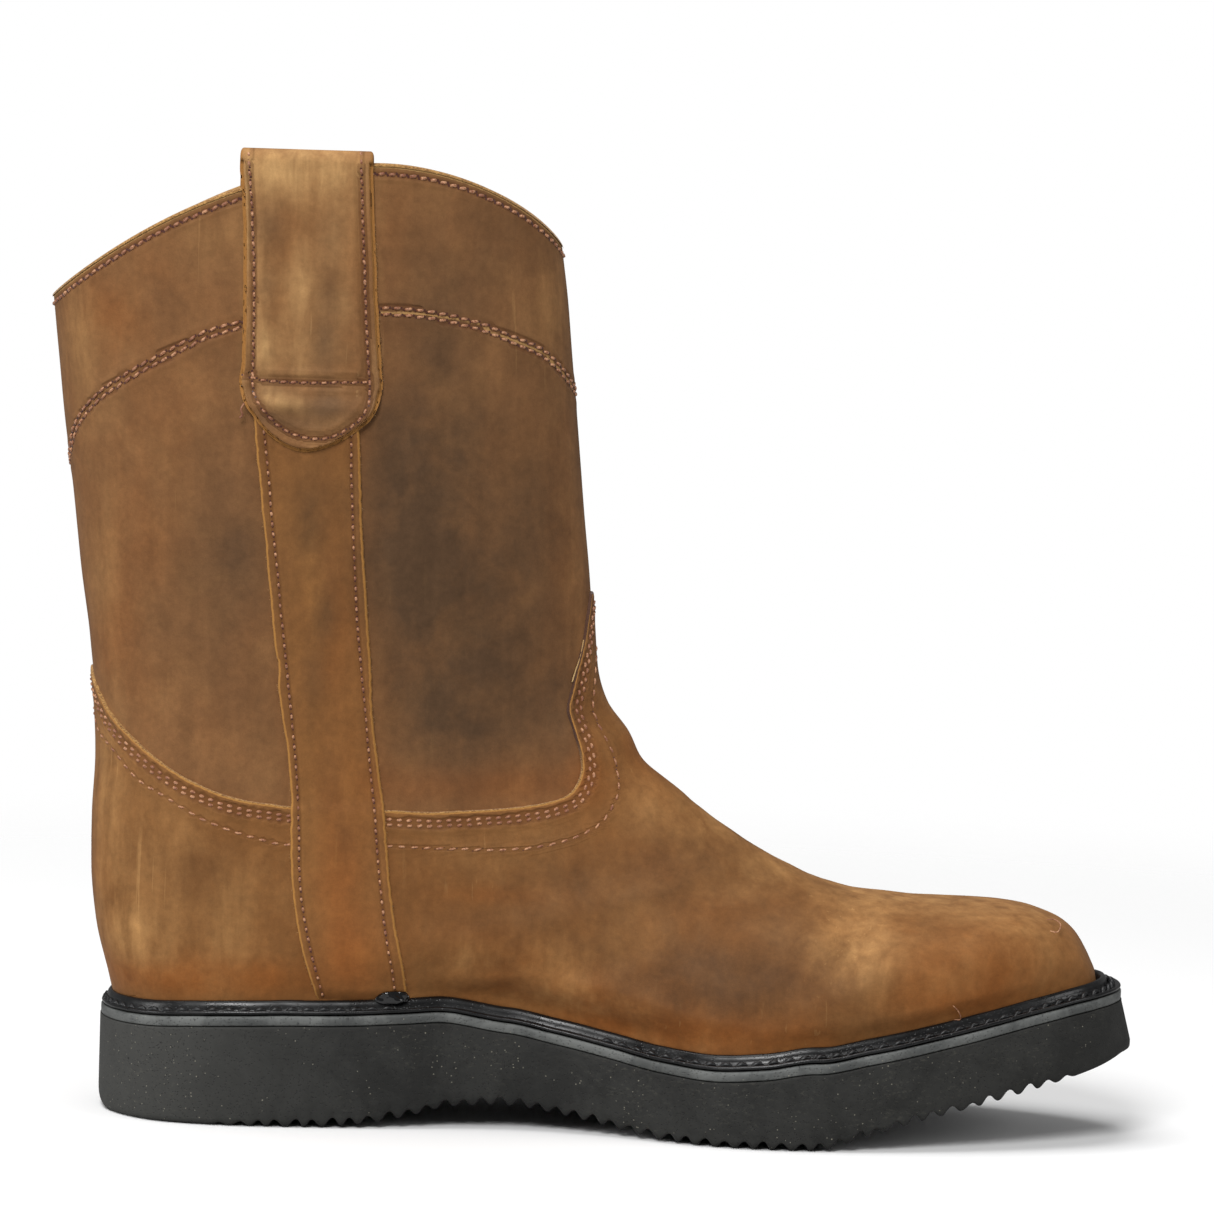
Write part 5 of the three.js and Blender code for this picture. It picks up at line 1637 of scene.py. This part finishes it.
# Short fibres of the cut edges.
def makeFibres(name, runs, count, material):
    points, faces = [], []
    for line, away in runs:
        even = resample(line, 0.3)
        for k in dice.integers(0, len(even), count):
            start = even[k] + dice.normal(0, 0.08, 3)
            way = np.array(away) + dice.normal(0, 0.6, 3)
            way *= (0.35 + 0.6 * dice.random() ** 2) / np.linalg.norm(way)
            bend = start + way * 0.55 + dice.normal(0, 0.08, 3)
            n = len(points)
            for at, thick in ((start, 0.075), (bend, 0.06)):
                points += [at + np.array(d) * thick for d in ((1, 0, 0), (-0.5, 0, 0.87), (-0.5, 0.6, -0.6))]
            points.append(start + way)
            faces += [[n + a, n + (a + 1) % 3, n + 3 + (a + 1) % 3, n + 3 + a] for a in range(3)]
            faces += [[n + 3 + a, n + 3 + (a + 1) % 3, n + 6] for a in range(3)]
    return makeMesh(name, points, faces, material, {"shade": np.zeros(len(points))})


fibreRuns = []
for side in (-1, 1):
    grid = np.array([v.co for v in straps[side][0].data.vertices]) * 1000 - boot["middle"]
    grid = grid.reshape(-1, strap["columns"], 3)
    fibreRuns += [(grid[:, -3] + (0, 0.1 * side, 0), (1, 0.5 * side, 0)), (grid[:, 2], (-1, 0.5 * side, 0))]
    shift = strap["setBack"] if side > 0 else 0
    edge = np.array([nearSide(*p) for p in tab["outline"][-11:-1]])
    outwards = [sideBase(x - shift - 0.3, z, side)[0] + side * 0.9 for x, z in edge]
    fibreRuns.append((np.column_stack([edge[:, 0] - shift - 0.1, outwards, edge[:, 1]]), (1, 0.3 * side, 0)))
fibres = makeFibres("edgeFibres", fibreRuns, smallParts["fibres"], cutEdge)
cementPart = makeCement()
curls = [
    makeCurl("looseThreadToe", thread),
    makeCurl("looseThreadWelt", thread),
    makeCurl("linerSliver", liningLeather),
    makeCurl("looseThreadTab", thread),
]
print("small parts ready")


# The slot's material name, the nodes that its first pieces replace, and its pieces.
stands = {
    "upper_leather": (["upper"], [shaftPart, vampPart, cutPart, rimPart, liningPart, fibres, *stitchPieces, *curls]),
    "strap_leather": (
        ["side_strap_medial", "side_strap_lateral", "pull_loop_medial", "pull_loop_lateral"],
        [straps[-1][0], straps[1][0], tabs[-1][0], tabs[1][0]],
    ),
    "welt_rubber": (["welt"], [weltPart, weltStitches, cementPart]),
    "midsole_rubber": (["midsole"], [midsolePart]),
    "outsole_rubber": (["outsole"], [outsolePart]),
    "insole_lining": (["insole"], [insolePart]),
}
for slotName, (nodes, pieces) in stands.items():
    for piece in pieces:
        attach(piece, "root")
    for node, piece in zip(nodes, pieces):
        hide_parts(node)

# Pale floor, soft light from the upper left front and from above. Lamps: place, size, power.
light = {
    "world": 0.18,
    "keyLight": ((-0.4, -1.75, 1.45), 0.85, 33),
    "topLight": ((-0.3, 0.0, 2.0), 1.5, 24),
    "fillLight": ((-2.0, -0.6, 0.7), 0.8, 15),
    "sideLight": ((1.9, -0.8, 1.0), 1.0, 9),
    "aimHeight": 0.12,
    "floorTone": 0.96,
    "floorBounce": 0.5,     # how light the floor is for the light that it throws back
    "floorFade": (0.3, 0.8),
}


def makeFloor():
    side = np.linspace(-3.0, 3.0, 25)
    points = [(x, y, -0.0002) for x in side for y in side]
    mesh = bpy.data.meshes.new("paleFloor")
    mesh.from_pydata(points, [], gridFaces(len(side), len(side), flip=True).tolist())
    material, tree, surface = newMaterial("paleFloor", {"Roughness": 0.9, "Specular IOR Level": 0.1})
    seen = tree.nodes.new("ShaderNodeLightPath").outputs["Is Camera Ray"]
    tone = mixColour(tree, seen, (light["floorBounce"],) * 3 + (1,), (light["floorTone"],) * 3 + (1,))
    tree.links.new(tone, surface.inputs["Base Color"])
    far = add(tree, "ShaderNodeVectorMath", {0: objectPlace(tree)}, operation="LENGTH").outputs["Value"]
    tree.links.new(spread(tree, far, *light["floorFade"], 1.0, 0.0), surface.inputs["Alpha"])
    mesh.materials.append(material)
    floor = bpy.data.objects.new("paleFloor", mesh)
    bpy.context.scene.collection.objects.link(floor)
    return floor


def softbox(name):
    place, size, power = light[name]
    lamp = bpy.data.lights.new(name, "AREA")
    lamp.shape = "DISK"
    lamp.size = size
    lamp.energy = power
    holder = bpy.data.objects.new(name, lamp)
    holder.location = place
    holder.rotation_euler = (Vector((0, 0, light["aimHeight"])) - Vector(place)).to_track_quat("-Z", "Y").to_euler()
    bpy.context.scene.collection.objects.link(holder)
    return holder


def makeWorld():
    world = bpy.data.worlds.new("studioWhite")
    world.use_nodes = True
    tree = world.node_tree
    tree.nodes.clear()
    seen = add(tree, "ShaderNodeBackground", {"Color": (1, 1, 1, 1), "Strength": 1.0})
    lit = add(tree, "ShaderNodeBackground", {"Color": (1, 1, 1, 1), "Strength": light["world"]})
    path = tree.nodes.new("ShaderNodeLightPath")
    mix = tree.nodes.new("ShaderNodeMixShader")
    tree.links.new(path.outputs["Is Camera Ray"], mix.inputs[0])
    tree.links.new(lit.outputs[0], mix.inputs[1])
    tree.links.new(seen.outputs[0], mix.inputs[2])
    out = tree.nodes.new("ShaderNodeOutputWorld")
    tree.links.new(mix.outputs[0], out.inputs[0])
    bpy.context.scene.world = world


def makeCamera():
    c, s = math.cos(view["roll"]), math.sin(view["roll"])
    right, up = Vector((1, 0, 0)), Vector((0, math.sin(view["pitch"]), math.cos(view["pitch"])))
    forward = Vector((0, math.cos(view["pitch"]), -math.sin(view["pitch"])))
    axisX, axisY = right * c + up * s, up * c - right * s
    lens = bpy.data.cameras.new("photoView")
    lens.sensor_width = 36
    lens.lens = view["focal"] / view["pixels"] * 36
    lens.clip_start, lens.clip_end = 0.05, 20
    camera = bpy.data.objects.new("photoView", lens)
    place = inMetres(view["place"])
    camera.matrix_world = Matrix(
        [(*(v[k] for v in (axisX, axisY, -forward)), place[k]) for k in range(3)] + [(0, 0, 0, 1)])
    bpy.context.scene.collection.objects.link(camera)
    bpy.context.scene.camera = camera


makeFloor()
softbox("keyLight")
softbox("topLight")
softbox("fillLight")
softbox("sideLight")
makeWorld()
makeCamera()
bpy.context.scene.view_settings.view_transform = "Standard"
print("stage ready")
